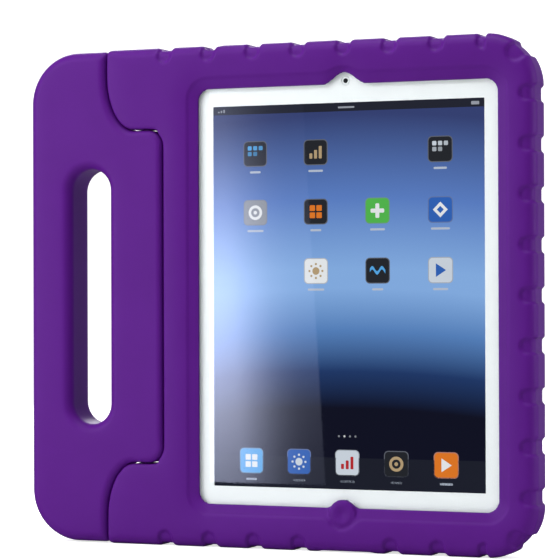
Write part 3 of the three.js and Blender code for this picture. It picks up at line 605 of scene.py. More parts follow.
def cylinder(x, z, radius):
    """The distance to a round hole or rod about the middle."""
    return np.hypot(x, z) - radius


def slot_hole(x, z, width, height):
    """The distance to a slot about the middle, with half-round ends."""
    return rounded_rectangle(x, z, width / 2, height / 2, height / 2)


def crowned(inside, fall, width):
    """How far a face lies below its highest level, at that distance inside its outline."""
    near = 1 - np.clip(inside / width, 0, 1)
    return fall * near * near


class FoamGrid:
    """A block of places about a piece of foam, with fields of distances on them."""

    def __init__(self, low, high, step):
        margin = 3 * step
        self.step = step
        self.low = [value - margin for value in low]
        counts = [math.ceil((top - bottom + 2 * margin) / step) for top, bottom in zip(high, low)]
        axes = [start + step * np.arange(count) for start, count in zip(self.low, counts)]
        self.x = axes[0][:, None, None]
        self.y = axes[1][None, :, None]
        self.z = axes[2][None, None, :]
        self.face = np.abs(self.y) - HALF_THICKNESS

    def turned(self, flat, side, where):
        """A flat field, read by the distance from the hinge axis where the foam is round about it."""
        out = np.hypot(self.x - HINGE_X, self.y)
        x = np.where(where, HINGE_X + side * out, self.x)
        place = np.clip((x - self.low[0]) / self.step, 0, flat.shape[0] - 1.001)
        before = np.floor(place).astype(int)[:, :, 0]
        share = place - before[:, :, None]
        rows = flat[:, 0, :]
        return rows[before] * (1 - share) + rows[before + 1] * share

    def skin(self, field, name, faces):
        """The mesh of the field's zero surface, in its place, thinned to about that many faces."""
        grid = openvdb.FloatGrid(FAR)
        grid.copyFromArray(np.ascontiguousarray(field, dtype=np.float32))
        points, quads = grid.convertToQuads(0.0)
        points = points.astype(float) * self.step + np.array(self.low) + np.array(CENTRE)
        mesh = bpy.data.meshes.new(name)
        mesh.from_pydata(points.tolist(), [], quads[:, ::-1].tolist())
        mesh.update()
        piece = in_scene(name, mesh)
        triangles = 2 * len(quads)
        if triangles > faces:
            thin = piece.modifiers.new("Thin", "DECIMATE")
            thin.ratio = faces / triangles
            apply_modifiers(piece)
        shape = bmesh.new()
        shape.from_mesh(piece.data)
        if shape.calc_volume(signed=True) < 0:
            bmesh.ops.reverse_faces(shape, faces=shape.faces)
        shape.to_mesh(piece.data)
        shape.free()
        piece.data.shade_smooth()
        return piece


def apply_modifiers(piece):
    """Makes a piece's modifiers part of its mesh."""
    graph = bpy.context.evaluated_depsgraph_get()
    finished = bpy.data.meshes.new_from_object(piece.evaluated_get(graph))
    piece.modifiers.clear()
    piece.data = finished


def parting_outline(sizes):
    """The side of the S-shaped parting line that the case is on."""
    tip = HINGE_X - sizes.ear_reach
    flat = HINGE_X - sizes.ear_flat
    face = HINGE_X + HALF_THICKNESS + sizes.seam_gap
    bottom = CASE_HIGH.z - sizes.ear_height
    corner = sizes.tongue_corner + sizes.seam_gap
    curve = bottom + sizes.ear_rise
    upper = arc(face - corner, bottom - corner, corner, corner, 0, 90)
    upper += arc(flat, curve, flat - tip, sizes.ear_rise, 270, 180)
    upper += [(tip, FAR)]
    lower = [(x, -z) for x, z in reversed(upper)]
    return lower + upper + [(FAR, FAR), (FAR, -FAR)]


def case_outline(sizes):
    """The case's outer edge, left open far beyond the parting line."""
    corner = sizes.body_corner
    right, top = CASE_HIGH.x - corner, CASE_HIGH.z - corner
    upper = arc(right, top, corner, corner, 0, 90) + [(-FAR, CASE_HIGH.z)]
    return [(x, -z) for x, z in reversed(upper)] + upper


def handle_outline(sizes):
    """The handle's outer edge, left open far beyond the parting line."""
    corner = sizes.handle_corner
    left, top = HANDLE_LOW.x + corner, HANDLE_HIGH.z - corner
    upper = arc(left, top, corner, corner, 180, 90) + [(FAR, HANDLE_HIGH.z)]
    return [(x, -z) for x, z in reversed(upper)] + upper


def scallop_depth(grid, edge, sizes):
    """How far the scallops sink the skin round the case's outer edge."""
    x, z = grid.x, grid.z
    pitch = sizes.scallop_pitch
    inward = -edge
    reach = np.where(grid.y > 0, sizes.scallop_back_reach, sizes.scallop_reach)

    def cut(across, width, present):
        half = width / 2
        past = np.maximum(inward - (reach - half), 0)
        out = np.hypot(across, past) / half
        return np.where(present, smooth_step((1 - out) / SCALLOP_WALL), 0)

    corner_x = CASE_HIGH.x - sizes.body_corner
    corner_z = CASE_HIGH.z - sizes.body_corner
    in_corner = (x > corner_x) & (np.abs(z) > corner_z)
    last_up = math.floor(corner_z / pitch) * pitch
    last_left = math.floor((HINGE_X + HALF_THICKNESS) / -pitch) * pitch
    on_side = (np.abs(z) < last_up + pitch / 2) & (x > corner_x)
    at_dock = (z < 0) & (np.abs(x) < sizes.dock_width / 2)
    on_end = (x > -last_left - pitch / 2) & (np.abs(z) > corner_z) & ~in_corner & ~at_dock
    from_side = z - np.round(z / pitch) * pitch
    from_end = x - np.round(x / pitch) * pitch
    diagonal = ((x - corner_x) - (np.abs(z) - corner_z)) * math.sqrt(0.5)
    depth = cut(from_side, sizes.scallop_width, on_side & ~in_corner)
    depth = np.maximum(depth, cut(from_end, sizes.scallop_width, on_end))
    depth = np.maximum(depth, cut(diagonal, sizes.corner_scallop_width, in_corner))
    return depth * sizes.scallop_depth


def window_outline(grid, sizes):
    """The distance to the window's edge, and the width of the lip round it."""
    x, z = grid.x, grid.z
    half_x = SHELL_HIGH.x - sizes.window_inset_side
    half_z = SHELL_HIGH.z - sizes.window_inset_end
    across = np.clip(x / (sizes.notch_width / 2), -1, 1)
    hump = (1 + np.cos(math.pi * across)) / 2 * (z > half_z / 2)
    window = rounded_rectangle(x, z - sizes.notch_rise * hump, half_x, half_z, sizes.window_corner)
    return window, sizes.lip_width + (sizes.notch_lip - sizes.lip_width) * hump


def lip_front(window, lip_width, pad, sizes):
    """How far forward the foam stands on the sloping lip, with the step up to the face round it."""
    edge_front = GLASS_LOW.y - sizes.fit - sizes.lip_edge
    step_front = -HALF_THICKNESS + sizes.lip_step
    slope = edge_front + (step_front - edge_front) * np.clip(window / lip_width, 0, 1)
    beyond_step = blend_least(window - lip_width, pad - PAD_RIM, PAD_BRIDGE)
    over_step = smooth_step(beyond_step / STEP_STRETCH + 0.5)
    return slope + (-HALF_THICKNESS - MM - slope) * over_step


def window_field(grid, body, window, lip_width, sizes):
    """Cuts the window through the foam, with its lip, camera notch and the pad over the round button."""
    pad_x = grid.x - sizes.tab_shift
    pad_z = grid.z - HOME_Z + sizes.tab_drop
    out = np.hypot(pad_x, pad_z)
    pad = out - sizes.tab_radius
    pocket_front = GLASS_LOW.y - sizes.fit
    pad_front = pocket_front - sizes.tab_rise
    dish = sizes.tab_dish * (1 - smooth_step(out / (sizes.tab_groove - sizes.tab_groove_width)))
    rounding = PAD_ROUNDING * smooth_step(1 + pad / STEP_STRETCH)
    pad_face = pad_front + dish + rounding
    front = lip_front(window, lip_width, pad, sizes)
    front = front + (pad_face - front) * smooth_step(0.5 - pad / PAD_WALL)
    field = blend_most(body, (front - grid.y) * LIP_SCALE, LIP_ROUNDING)
    groove = np.hypot(out - sizes.tab_groove, grid.y - pad_front) - sizes.tab_groove_width / 2
    field = blend_most(field, -groove, PAD_WALL)
    opening = blend_most(window, -pad, sizes.tab_flare)
    through = np.maximum(opening, grid.y - pocket_front - INTO_POCKET)
    return blend_most(field, -through, WINDOW_EDGE)


def ear_side(grid, parting):
    """The case's side of the parting line, which runs round the hinge axis behind it."""
    trail = math.pi - SWING - SWING_MARGIN
    past_trail = grid.y * math.cos(trail) - (grid.x - HINGE_X) * math.sin(trail)
    behind = np.minimum(grid.y, past_trail)
    return np.maximum(parting, np.minimum(behind, grid.turned(parting, -1, grid.y > 0)))


def swept_room(grid, sizes):
    """The room between the ears that the handle's back sweeps through at full swing."""
    reach = HALF_THICKNESS + sizes.seam_gap
    from_x = grid.x - HINGE_X - reach * math.sin(SWING)
    from_y = grid.y - reach * math.cos(SWING)
    short_of_it = from_y * math.cos(SWING) + from_x * math.sin(SWING)
    return np.maximum(short_of_it, np.abs(grid.z) - (CASE_HIGH.z - sizes.ear_height))


def tablet_pocket(grid, sizes):
    """The pocket that the tablet lies in."""
    half_x = SHELL_HIGH.x + sizes.fit
    half_z = SHELL_HIGH.z + sizes.fit
    side = rounded_rectangle(grid.x, grid.z, half_x, half_z, POCKET_CORNER)
    whole = rounded_plate(side, grid.y - SHELL_HIGH.y - sizes.fit, POCKET_EDGE)
    return np.maximum(whole, GLASS_LOW.y - sizes.fit - grid.y)


def case_openings(grid, sizes):
    """The holes for the rear lens, the speaker, the headphone plug and the charging plug."""
    x, y, z = grid.x, grid.y, grid.z
    behind = SHELL_HIGH.y - INTO_POCKET - y
    above = SHELL_HIGH.z - INTO_POCKET - z
    below = z + SHELL_HIGH.z - INTO_POCKET
    widening = sizes.lens_flare * smooth_step((y - HALF_THICKNESS) / sizes.lens_flare + 1)
    lens = cylinder(x - REAR_LENS.x, z - REAR_LENS.z, sizes.lens_hole + widening)
    speaker = slot_hole(x - SPEAKER.x, z - SPEAKER.z, sizes.speaker_width, sizes.speaker_height)
    jack = cylinder(x - JACK.x, y - JACK.y, sizes.jack_hole)
    dock = slot_hole(x, y - DOCK.y, sizes.dock_width, sizes.dock_height)
    holes = ((lens, behind), (speaker, behind), (jack, above), (dock, below))
    return [np.maximum(hole, start) for hole, start in holes]


def case_field(grid, sizes):
    """The case: frame, back, two hinge ears, and everything cut into them."""
    x, y, z = grid.x, grid.y, grid.z
    edge = outline_distance(case_outline(sizes), x, z)
    ear = ear_side(grid, outline_distance(parting_outline(sizes), x, z))
    side = blend_most(edge, ear, PARTING_MEET)
    outer = np.where(y > 0, sizes.back_edge, sizes.outer_edge)
    radius = sizes.seam_edge + (outer - sizes.seam_edge) * smooth_step((edge - ear) / EDGE_CHANGE + 0.5)
    window, lip_width = window_outline(grid, sizes)
    sunk_lip = crowned(window - lip_width, sizes.lip_crown, sizes.crown_width)
    sunk = crowned(-side, sizes.crown, sizes.crown_width) + np.where(y < 0, sunk_lip, 0)
    body = rounded_plate(side, grid.face + sunk, radius) + scallop_depth(grid, edge, sizes)
    body = blend_most(body, -swept_room(grid, sizes), SWEPT_EDGE)
    body = np.maximum(body, -tablet_pocket(grid, sizes))
    body = window_field(grid, body, window, lip_width, sizes)
    for opening in case_openings(grid, sizes):
        body = blend_most(body, -opening, HOLE_EDGE)
    sleeve = cylinder(x - HINGE_X, y, SLEEVE_RADIUS + sizes.fit)
    return np.maximum(body, -np.maximum(sleeve, np.abs(z) - PIN_TOP - sizes.fit))


def handle_side(grid, sizes):
    """The handle's side of the parting line, with a narrower gap by the tongue's two ends."""
    x, z = grid.x, grid.z
    along = smooth_step((x - HINGE_X + TIGHT_REACH) / TIGHT_STRETCH)
    by_end = along * smooth_step((np.abs(z) - TIGHT_HEIGHT) / TIGHT_RISE)
    gap = sizes.seam_gap + (sizes.tongue_gap - sizes.seam_gap) * by_end
    parting = gap - outline_distance(parting_outline(sizes), x, z)
    return grid.turned(parting, 1, (x > HINGE_X) & (grid.y > 0))


def grip_slot(grid, sizes):
    """The distance to the slot that a hand goes through."""
    past_end = np.maximum(np.abs(grid.z) - (sizes.slot_length - sizes.slot_width) / 2, 0)
    return cylinder(grid.x - HINGE_X + sizes.slot_from_hinge, past_end, sizes.slot_width / 2)


def handle_field(grid, sizes):
    """The handle: grip slot, two shoulders, and the tongue between the case's ears."""
    x, y, z = grid.x, grid.y, grid.z
    edge = outline_distance(handle_outline(sizes), x, z)
    seam = handle_side(grid, sizes)
    slot = grip_slot(grid, sizes)
    outer = np.where(y > 0, sizes.back_edge, sizes.outer_edge)
    by_curve = smooth_step((HINGE_X - x) / EDGE_CHANGE)
    shoulder = sizes.nose_edge + (sizes.shoulder_edge - sizes.nose_edge) * by_curve
    shoulder = np.where((x > HINGE_X) & (y > 0), TURNED_EDGE, shoulder)
    radius = outer + (shoulder - outer) * smooth_step((seam - edge) / EDGE_CHANGE + 0.5)
    radius = np.where(-slot > np.maximum(edge, seam), sizes.slot_edge, radius)
    side = np.maximum(blend_most(edge, seam, PARTING_MEET), -slot)
    sunk = crowned(-np.maximum(edge, -slot), sizes.crown, sizes.crown_width)
    body = rounded_plate(side, grid.face + sunk, radius)
    past_tongue = CASE_HIGH.z - sizes.ear_height - sizes.seam_gap - np.abs(z)
    past_shoulder = HINGE_X - sizes.ear_reach - sizes.seam_gap - x
    relief = np.maximum(np.maximum(-y, past_shoulder), past_tongue)
    body = blend_most(body, -relief, RELIEF_EDGE)
    sleeve = cylinder(x - HINGE_X, y, SLEEVE_RADIUS + sizes.fit)
    return np.maximum(body, -np.maximum(sleeve, PIN_LOW - sizes.fit - np.abs(z)))


def foam_piece(name, node, body, field_of, low, high, faces):
    """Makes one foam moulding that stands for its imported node."""
    sizes = foam_sizes()
    step = sizes.voxel * 1
    grid = FoamGrid(low, high, step)
    piece = grid.skin(field_of(grid, sizes), name, faces)
    material = bpy.data.materials.get("moulded_foam") or foam_finish()
    piece.data.materials.append(material)
    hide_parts(node)
    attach(piece, body)


class TABLETCASE_OT_case_foam(bpy.types.Operator):
    """Moulds the case: frame, hinge ears, lip, scallops and openings."""

    bl_idname = "tabletcase.case_foam"
    bl_label = "Case foam"

    def execute(self, context):
        foam_piece("case_foam", "case_body", BODY, case_field, CASE_LOW, CASE_HIGH, CASE_FACES)
        return {"FINISHED"}


class TABLETCASE_OT_handle_foam(bpy.types.Operator):
    """Moulds the handle with its grip slot and the tongue between the ears."""

    bl_idname = "tabletcase.handle_foam"
    bl_label = "Handle foam"

    def execute(self, context):
        foam_piece(
            "handle_foam", "handle_stand", HANDLE, handle_field, HANDLE_LOW, HANDLE_HIGH, HANDLE_FACES
        )
        return {"FINISHED"}


class TABLETCASE_OT_tablet(bpy.types.Operator):
    """Finishes the tablet's glass, border, shell, lenses and buttons."""

    bl_idname = "tabletcase.tablet"
    bl_label = "Tablet"

    def execute(self, context):
        look = finishes()
        border = border_finish()
        black = plastic_finish("black_button_plastic", look.black_plastic)
        lens = plastic_finish("lens_black", Vector(look.black_plastic) * 0.5, 0.12)
        wear("glass_panel", glass_finish())
        wear("bezel_mask", border)
        wear("home_button", border)
        wear("tablet_back_shell", metal_finish("blasted_aluminium", look.aluminium, 0.42, 0.25 * MM))
        wear("front_camera", front_lens_finish())
        wear("rear_camera", lens)
        for node in ("sleep_button", "volume_rocker", "side_switch"):
            wear(node, black)
        return {"FINISHED"}


class TABLETCASE_OT_inner_parts(bpy.types.Operator):
    """Finishes the cells, the board, the ports and the hinge's pins and sleeves."""

    bl_idname = "tabletcase.inner_parts"
    bl_label = "Inner parts"

    def execute(self, context):
        look = finishes()
        steel = metal_finish("ground_steel", look.steel, 0.3, 0.4 * MM)
        sleeve = plastic_finish("sleeve_plastic", look.sleeve, 0.5)
        port = plastic_finish("port_plastic", look.black_plastic, 0.5)
        film = plastic_finish("cell_film", Vector(look.black_plastic) * 1.2, 0.4)
        for place in ("upper", "lower"):
            wear(f"hinge_pin_{place}", steel)
            wear(f"ear_socket_{place}", sleeve)
            wear(f"handle_bush_{place}", sleeve)
        for node in ("home_switch", "dock_connector", "speaker_module", "headphone_jack"):
            wear(node, port)
        for node in frame["nodes"]:
            if node.startswith("battery_cell"):
                wear(node, film)
        wear("logic_board", plastic_finish("solder_mask", look.board, 0.35))
        return {"FINISHED"}


# The screen's drawing: flat layers that lie on the display panel

WHITE = (0.86, 0.88, 0.9)
GREY = (0.3, 0.32, 0.36)
CHARCOAL = (0.018, 0.02, 0.026)
GREEN = (0.09, 0.5, 0.08)
BLUE = (0.03, 0.13, 0.5)
SKY = (0.1, 0.42, 0.85)
ORANGE = (0.8, 0.2, 0.02)
RED = (0.5, 0.025, 0.03)
PALE = (0.66, 0.72, 0.8)
SAND = (0.5, 0.36, 0.2)

BAR_TONE = (0.016, 0.018, 0.032)
BAR_MARK = (0.34, 0.36, 0.42)
BAR_STEPS = (0.3, 0.32, 0.38)
SHELF_TONE = (0.012, 0.014, 0.026)
LABEL_TONE = (0.5, 0.56, 0.68)
RIM_TONE = Vector((0.12, 0.13, 0.16))

# Rows of tiles: the tile's tone, its figure and the figure's tone, or nothing where there is no tile
ROWS = [
    [
        (CHARCOAL, "dots", SKY),
        (CHARCOAL, "bars", SAND),
        None,
        (CHARCOAL, "dots", PALE),
    ],
    [
        (GREY, "ring", WHITE),
        (CHARCOAL, "squares", ORANGE),
        (GREEN, "cross", WHITE),
        (BLUE, "diamond", WHITE),
    ],
    [
        None,
        (WHITE, "sun", SAND),
        (CHARCOAL, "wave", SKY),
        (PALE, "triangle", BLUE),
    ],
]
DOCK_ROW = [
    (SKY, "squares", WHITE),
    (BLUE, "sun", PALE),
    (PALE, "bars", RED),
    (CHARCOAL, "ring", SAND),
    (ORANGE, "triangle", WHITE),
]

OFF_PANEL = 0.01 * MM
SHARP_CORNER = 0.01 * MM
RIM_SHARE = 0.45
TILE_INNER = 0.93
TILE_INNER_CORNER = 0.85
LABEL_DROP = 0.72
LABEL_HEIGHT = 1.1 * MM
LABEL_CORNER = 0.5 * MM
SHELF_HEIGHT = 16 * MM
PAGE_DOTS = 4
PAGE_DOT_PITCH = 3 * MM
PAGE_DOT_RISE = 27 * MM


class Drawing:
    """Flat shapes gathered into one mesh, with a lit material for each tone."""

    def __init__(self, name):
        self.name = name
        self.shape = bmesh.new()
        self.materials = []
        self.slots = {}

    def slot_of(self, tone):
        """The number of the material for a tone, made when it is first asked for."""
        key = tuple(round(value, 4) for value in tone)
        if key not in self.slots:
            self.slots[key] = len(self.materials)
            self.materials.append(lit(f"screen_tone_{len(self.materials) + 1}", tone))
        return self.slots[key]

    def add(self, outline, level, tone):
        """A thin plate of an outline given in x and z, standing that many layers off the panel."""
        layer = screen_sizes().layer
        back = PANEL_LOW.y - (level - 1) * layer - OFF_PANEL
        rear, front = (
            [self.shape.verts.new(CENTRE + Vector((x, depth, z))) for x, z in outline]
            for depth in (back, back - layer)
        )
        count = len(outline)
        made = [self.shape.faces.new(front), self.shape.faces.new(rear[::-1])]
        for i in range(count):
            j = (i + 1) % count
            made.append(self.shape.faces.new((rear[i], rear[j], front[j], front[i])))
        index = self.slot_of(tone)
        for face in made:
            face.material_index = index

    def finish(self):
        """Makes the mesh, which rides on the tablet's body."""
        bmesh.ops.recalc_face_normals(self.shape, faces=self.shape.faces)
        mesh = bpy.data.meshes.new(self.name)
        self.shape.to_mesh(mesh)
        self.shape.free()
        for material in self.materials:
            mesh.materials.append(material)
        piece = in_scene(self.name, mesh)
        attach(piece, BODY)


def rectangle(x, z, width, height, corner):
    """A rectangle's outline with round corners, anticlockwise from its lower right."""
    half_x = width / 2 - corner
    half_z = height / 2 - corner
    points = []
    for side_x, side_z, start in ((1, -1, 270), (1, 1, 0), (-1, 1, 90), (-1, -1, 180)):
        points += arc(x + side_x * half_x, z + side_z * half_z, corner, corner, start, start + 90, 5)
    return points


def disc(x, z, radius, steps=28):
    """A round outline."""
    return arc(x, z, radius, radius, 0, 360 - 360 / steps, steps - 1)


class Figure:
    """Plain geometric figures for the middle of a tile, in tenths of its side, each drawn by its name."""

    def __init__(self, drawing, x, z, size, tone, ground):
        self.drawing = drawing
        self.x = x
        self.z = z
        self.unit = size / 10
        self.tone = tone
        self.ground = ground

    def shape(self, points, level=2, tone=None):
        """Adds an outline whose points are counted from the tile's middle."""
        placed = [(self.x + across * self.unit, self.z + up * self.unit) for across, up in points]
        self.drawing.add(placed, level, tone or self.tone)

    def bar(self, across, up, width, height, corner, level=2, tone=None):
        """Adds a rectangle with round corners."""
        self.shape(rectangle(across, up, width, height, corner), level, tone)

    def dots(self):
        for i, (column, row) in enumerate(((-1, 1), (0, 1), (1, 1), (-1, 0), (0, 0))):
            self.bar(2.5 * column, 2.4 * row, 1.8, 1.8, 0.4, tone=Vector(self.tone) * (1 - 0.12 * i))

    def squares(self):
        for column, row in ((-1, -1), (-1, 1), (1, -1), (1, 1)):
            self.bar(1.5 * column, 1.5 * row, 2.4, 2.4, 0.3)

    def bars(self):
        for i, height in enumerate((2.2, 3.6, 5.2)):
            self.bar((i - 1) * 2.1, height / 2 - 2.6, 1.3, height, 0.3)

    def ring(self):
        self.shape(disc(0, 0, 3.1))
        self.shape(disc(0, 0, 1.9), 3, self.ground)
        self.shape(disc(0, 0, 0.8), 4)

    def cross(self):
        self.bar(0, 0, 6, 1.7, 0.5)
        self.bar(0, 0, 1.7, 6, 0.5, 3)

    def diamond(self):
        for reach, level, tone in ((3.2, 2, self.tone), (1.5, 3, self.ground)):
            self.shape([(reach, 0), (0, reach), (-reach, 0), (0, -reach)], level, tone)

    def triangle(self):
        self.shape([(2.4, 0), (-2, 2.8), (-2, -2.8)])

    def sun(self):
        self.shape(disc(0, 0, 1.6))
        for turn in range(8):
            angle = math.radians(45 * turn)
            self.shape(disc(2.9 * math.cos(angle), 2.9 * math.sin(angle), 0.5, 12))

    def wave(self):
        top = [((i / 8 - 1) * 3.4, 0.8 + 1.1 * math.sin(i * math.pi / 5)) for i in range(17)]
        under = [(across, up - 1.4) for across, up in reversed(top)]
        self.shape(top + under)


def tile(drawing, x, z, ground, kind, tone, label):
    """A rounded tile with its rim, its figure, and a short bar in place of a label."""
    sizes = screen_sizes()
    side = sizes.tile
    inner = side * TILE_INNER
    rim = Vector(ground) * RIM_SHARE + RIM_TONE
    drawing.add(rectangle(x, z, side, side, sizes.tile_corner), 1, rim)
    drawing.add(rectangle(x, z, inner, inner, sizes.tile_corner * TILE_INNER_CORNER), 1.5, ground)
    getattr(Figure(drawing, x, z, inner, tone, ground), kind)()
    drawing.add(rectangle(x, z - side * LABEL_DROP, label, LABEL_HEIGHT, LABEL_CORNER), 1, LABEL_TONE)


def status_bar(drawing, sizes):
    """The dark bar along the top, with steps at its left, a mark in its middle and one at its right."""
    top = sizes.height / 2
    middle = top - sizes.bar_height / 2
    ground = rectangle(0, middle, sizes.width + MM, sizes.bar_height, SHARP_CORNER)
    drawing.add(ground, 1, BAR_TONE)
    level = top - sizes.bar_height * 0.55
    for i in range(3):
        height = (0.7 + 0.45 * i) * MM
        across = (3 + 1.5 * i) * MM - sizes.width / 2
        step = rectangle(across, level - 0.8 * MM + height / 2, 0.9 * MM, height, 0.1 * MM)
        drawing.add(step, 2, BAR_STEPS)
    drawing.add(rectangle(0, level, 9 * MM, 0.9 * MM, 0.4 * MM), 2, BAR_MARK)
    drawing.add(rectangle(sizes.width / 2 - 5 * MM, level, 4.2 * MM, 1.7 * MM, 0.3 * MM), 2, BAR_MARK)


def tile_rows(drawing, sizes):
    """The rows of tiles, each with a bar of its own length below it."""
    for row, tiles in enumerate(ROWS):
        z = sizes.height / 2 - sizes.first_row - row * sizes.row_pitch
        for column, look in enumerate(tiles):
            if look is not None:
                x = (column - (len(tiles) - 1) / 2) * sizes.column_pitch
                tile(drawing, x, z, *look, (6 + (3 * row + 2 * column) % 5) * MM)


def dock_shelf(drawing, sizes):
    """The dark shelf along the foot with its row of tiles, and the small dots above it."""
    foot = -sizes.height / 2
    shelf = rectangle(0, foot + SHELF_HEIGHT / 2, sizes.width + MM, SHELF_HEIGHT, SHARP_CORNER)
    drawing.add(shelf, 1, SHELF_TONE)
    for i, look in enumerate(DOCK_ROW):
        x = (i - (len(DOCK_ROW) - 1) / 2) * sizes.dock_pitch
        tile(drawing, x, foot + sizes.dock_row, *look, (6 + i % 3) * MM)
    for i in range(PAGE_DOTS):
        shade = WHITE if i == 1 else GREY
        across = (i - (PAGE_DOTS - 1) / 2) * PAGE_DOT_PITCH
        drawing.add(disc(across, foot + PAGE_DOT_RISE, 0.55 * MM, 12), 1, Vector(shade) * 0.8)


class TABLETCASE_OT_screen(bpy.types.Operator):
    """Lights the screen: a banded background, a status bar, and rows of plain tiles."""

    bl_idname = "tabletcase.screen"
    bl_label = "Screen"

    def execute(self, context):
        sizes = screen_sizes()
        wear("display_panel", screen_finish())
        drawing = Drawing("screen_drawing")
        status_bar(drawing, sizes)
        tile_rows(drawing, sizes)
        dock_shelf(drawing, sizes)
        drawing.finish()
        return {"FINISHED"}


# The stage

# Each lamp's name, place, width, height and power; all face the middle of the glass
LAMPS = [
    ("lamp_left", (-0.72, -0.62, 0.42), 0.5, 0.9, 6.9),
    ("lamp_front", (-0.3, -0.95, 1.15), 0.8, 0.5, 6),
    ("lamp_top", (0.0, -0.15, 1.3), 0.9, 0.6, 10),
    ("lamp_right", (1.2, 0.25, 0.4), 0.5, 0.8, 6.8),
    ("lamp_behind", (-0.7, 1.2, 0.8), 0.8, 0.8, 12),
]

FLOOR_GREY = 0.8
FLOOR_ROUGHNESS = 0.9
FLOOR_WHITENESS = 0.7
MIRRORED_NEAR = 0.03
MIRRORED_FAR = 0.55
MIRRORED_DEPTH = 0.4
BACKDROP_TOP = 3.0

SENSOR_WIDTH = 36
CLIP_NEAR = 0.01
CLIP_FAR = 50

REFLECTOR_TONE = (0.8, 0.86, 1.2, 1)
REFLECTOR_FADE = 0.0864

# The reflector's light, from its right edge leftwards and from its foot upwards
LIGHT_SIDEWAYS = [
    (0, 0.08),
    (0.2, 0.12),
    (0.35, 0.22),
    (0.47, 0.37),
    (0.6, 0.6),
    (0.72, 0.85),
    (0.9, 1.0),
    (1, 1.1),
]
LIGHT_UPWARD = [
    (0, 0.2),
    (0.15, 0.4),
    (0.27, 0.75),
    (0.38, 1.0),
    (0.5, 0.82),
    (0.64, 0.58),
    (0.8, 0.2),
    (1, 0.08),
]


def area_lamp(name, place, width, height, power):
    """A soft panel of light that faces the middle of the glass and isn't seen itself."""
    lamp = bpy.data.lights.new(name, "AREA")
    lamp.shape = "RECTANGLE"
    lamp.size = width
    lamp.size_y = height
    lamp.energy = power
    panel = in_scene(name, lamp)
    panel.location = place
    panel.rotation_euler = (CENTRE - Vector(place)).to_track_quat("-Z", "Y").to_euler()
    panel.visible_camera = False


def seen_straight(node, link, path):
    """One where a thing is seen straight or through clear glass, and nothing in other light paths."""
    return maths(node, link, "MAXIMUM", path.outputs["Is Camera Ray"], path.outputs["Is Transmission Ray"])


def seen_white(node, link, surface, mirrored, whiteness):
    """The surface with white added where it is seen straight, and a level of its own in a mirror."""
    path = node("ShaderNodeLightPath")
    glow = node("ShaderNodeEmission", {"Color": (1, 1, 1, 1)})
    link(maths(node, link, "MULTIPLY", seen_straight(node, link, path), whiteness), glow.inputs["Strength"])
    straight = node("ShaderNodeAddShader")
    link(surface, straight.inputs[0])
    link(glow.outputs["Emission"], straight.inputs[1])
    image = node("ShaderNodeEmission", {"Color": (1, 1, 1, 1)})
    link(mirrored, image.inputs["Strength"])
    chosen = node("ShaderNodeMixShader")
    link(path.outputs["Is Glossy Ray"], chosen.inputs["Fac"])
    link(straight.outputs["Shader"], chosen.inputs[1])
    link(image.outputs["Emission"], chosen.inputs[2])
    return chosen.outputs["Shader"]


def level_curve(node, link, value, low, high, levels):
    """A level that follows the given (share, level) pairs as the value goes from low to high."""
    share = node("ShaderNodeMapRange", {"From Min": low, "From Max": high})
    link(value, share.inputs["Value"])
    stops = [(place, (level, level, level)) for place, level in levels]
    return ramp_of(node, link, share.outputs["Result"], stops, "B_SPLINE")


def add_camera(scene, sizes):
    """The camera, at the photograph's viewing angle."""
    lens = bpy.data.cameras.new("camera")
    lens.lens = sizes.camera_lens
    lens.sensor_width = SENSOR_WIDTH
    lens.clip_start = CLIP_NEAR
    lens.clip_end = CLIP_FAR
    camera = in_scene("camera", lens)
    camera.location = CENTRE + Vector(sizes.camera_place)
    yaw = sizes.camera_yaw
    rise = sizes.camera_rise
    ahead = Vector((-math.sin(yaw) * math.cos(rise), math.cos(yaw) * math.cos(rise), math.sin(rise)))
    turn = ahead.to_track_quat("-Z", "Y").to_matrix() @ Matrix.Rotation(sizes.camera_roll, 3, "Z")
    camera.rotation_euler = turn.to_euler()
    scene.camera = camera


def floor_finish():
    """Matt white, brighter where it is seen straight, and fading in mirrors towards the front."""
    material, node, link, shader = new_material("white_floor")
    shader.inputs["Base Color"].default_value = (FLOOR_GREY, FLOOR_GREY, FLOOR_GREY, 1)
    shader.inputs["Roughness"].default_value = FLOOR_ROUGHNESS
    shader.inputs["Specular IOR Level"].default_value = 0.0
    place = node("ShaderNodeSeparateXYZ")
    link(place_in_object(node), place.inputs["Vector"])
    levels = {"From Max": MIRRORED_DEPTH, "To Min": MIRRORED_NEAR, "To Max": MIRRORED_FAR}
    mirrored = node("ShaderNodeMapRange", levels)
    link(place.outputs["Y"], mirrored.inputs["Value"])
    surface = seen_white(node, link, shader.outputs["BSDF"], mirrored.outputs["Result"], FLOOR_WHITENESS)
    only_surface(material, link, surface)
    return material


def add_floor(sizes):
    """A floor that curves up into a backdrop behind the case."""
    half = sizes.floor_width / 2
    depth = sizes.floor_depth
    radius = sizes.sweep_radius
    profile = [(-depth * 2, 0.0)]
    profile += [(depth + y, radius + z) for y, z in arc(0, 0, radius, radius, 270, 360, 16)]
    profile += [(depth + radius, BACKDROP_TOP)]
    points = [(x, y, z) for y, z in profile for x in (-half, half)]
    faces = [(2 * i, 2 * i + 1, 2 * i + 3, 2 * i + 2) for i in range(len(profile) - 1)]
    mesh = bpy.data.meshes.new("floor")
    mesh.from_pydata(points, [], faces)
    mesh.shade_smooth()
    mesh.materials.append(floor_finish())
    floor = in_scene("floor", mesh)


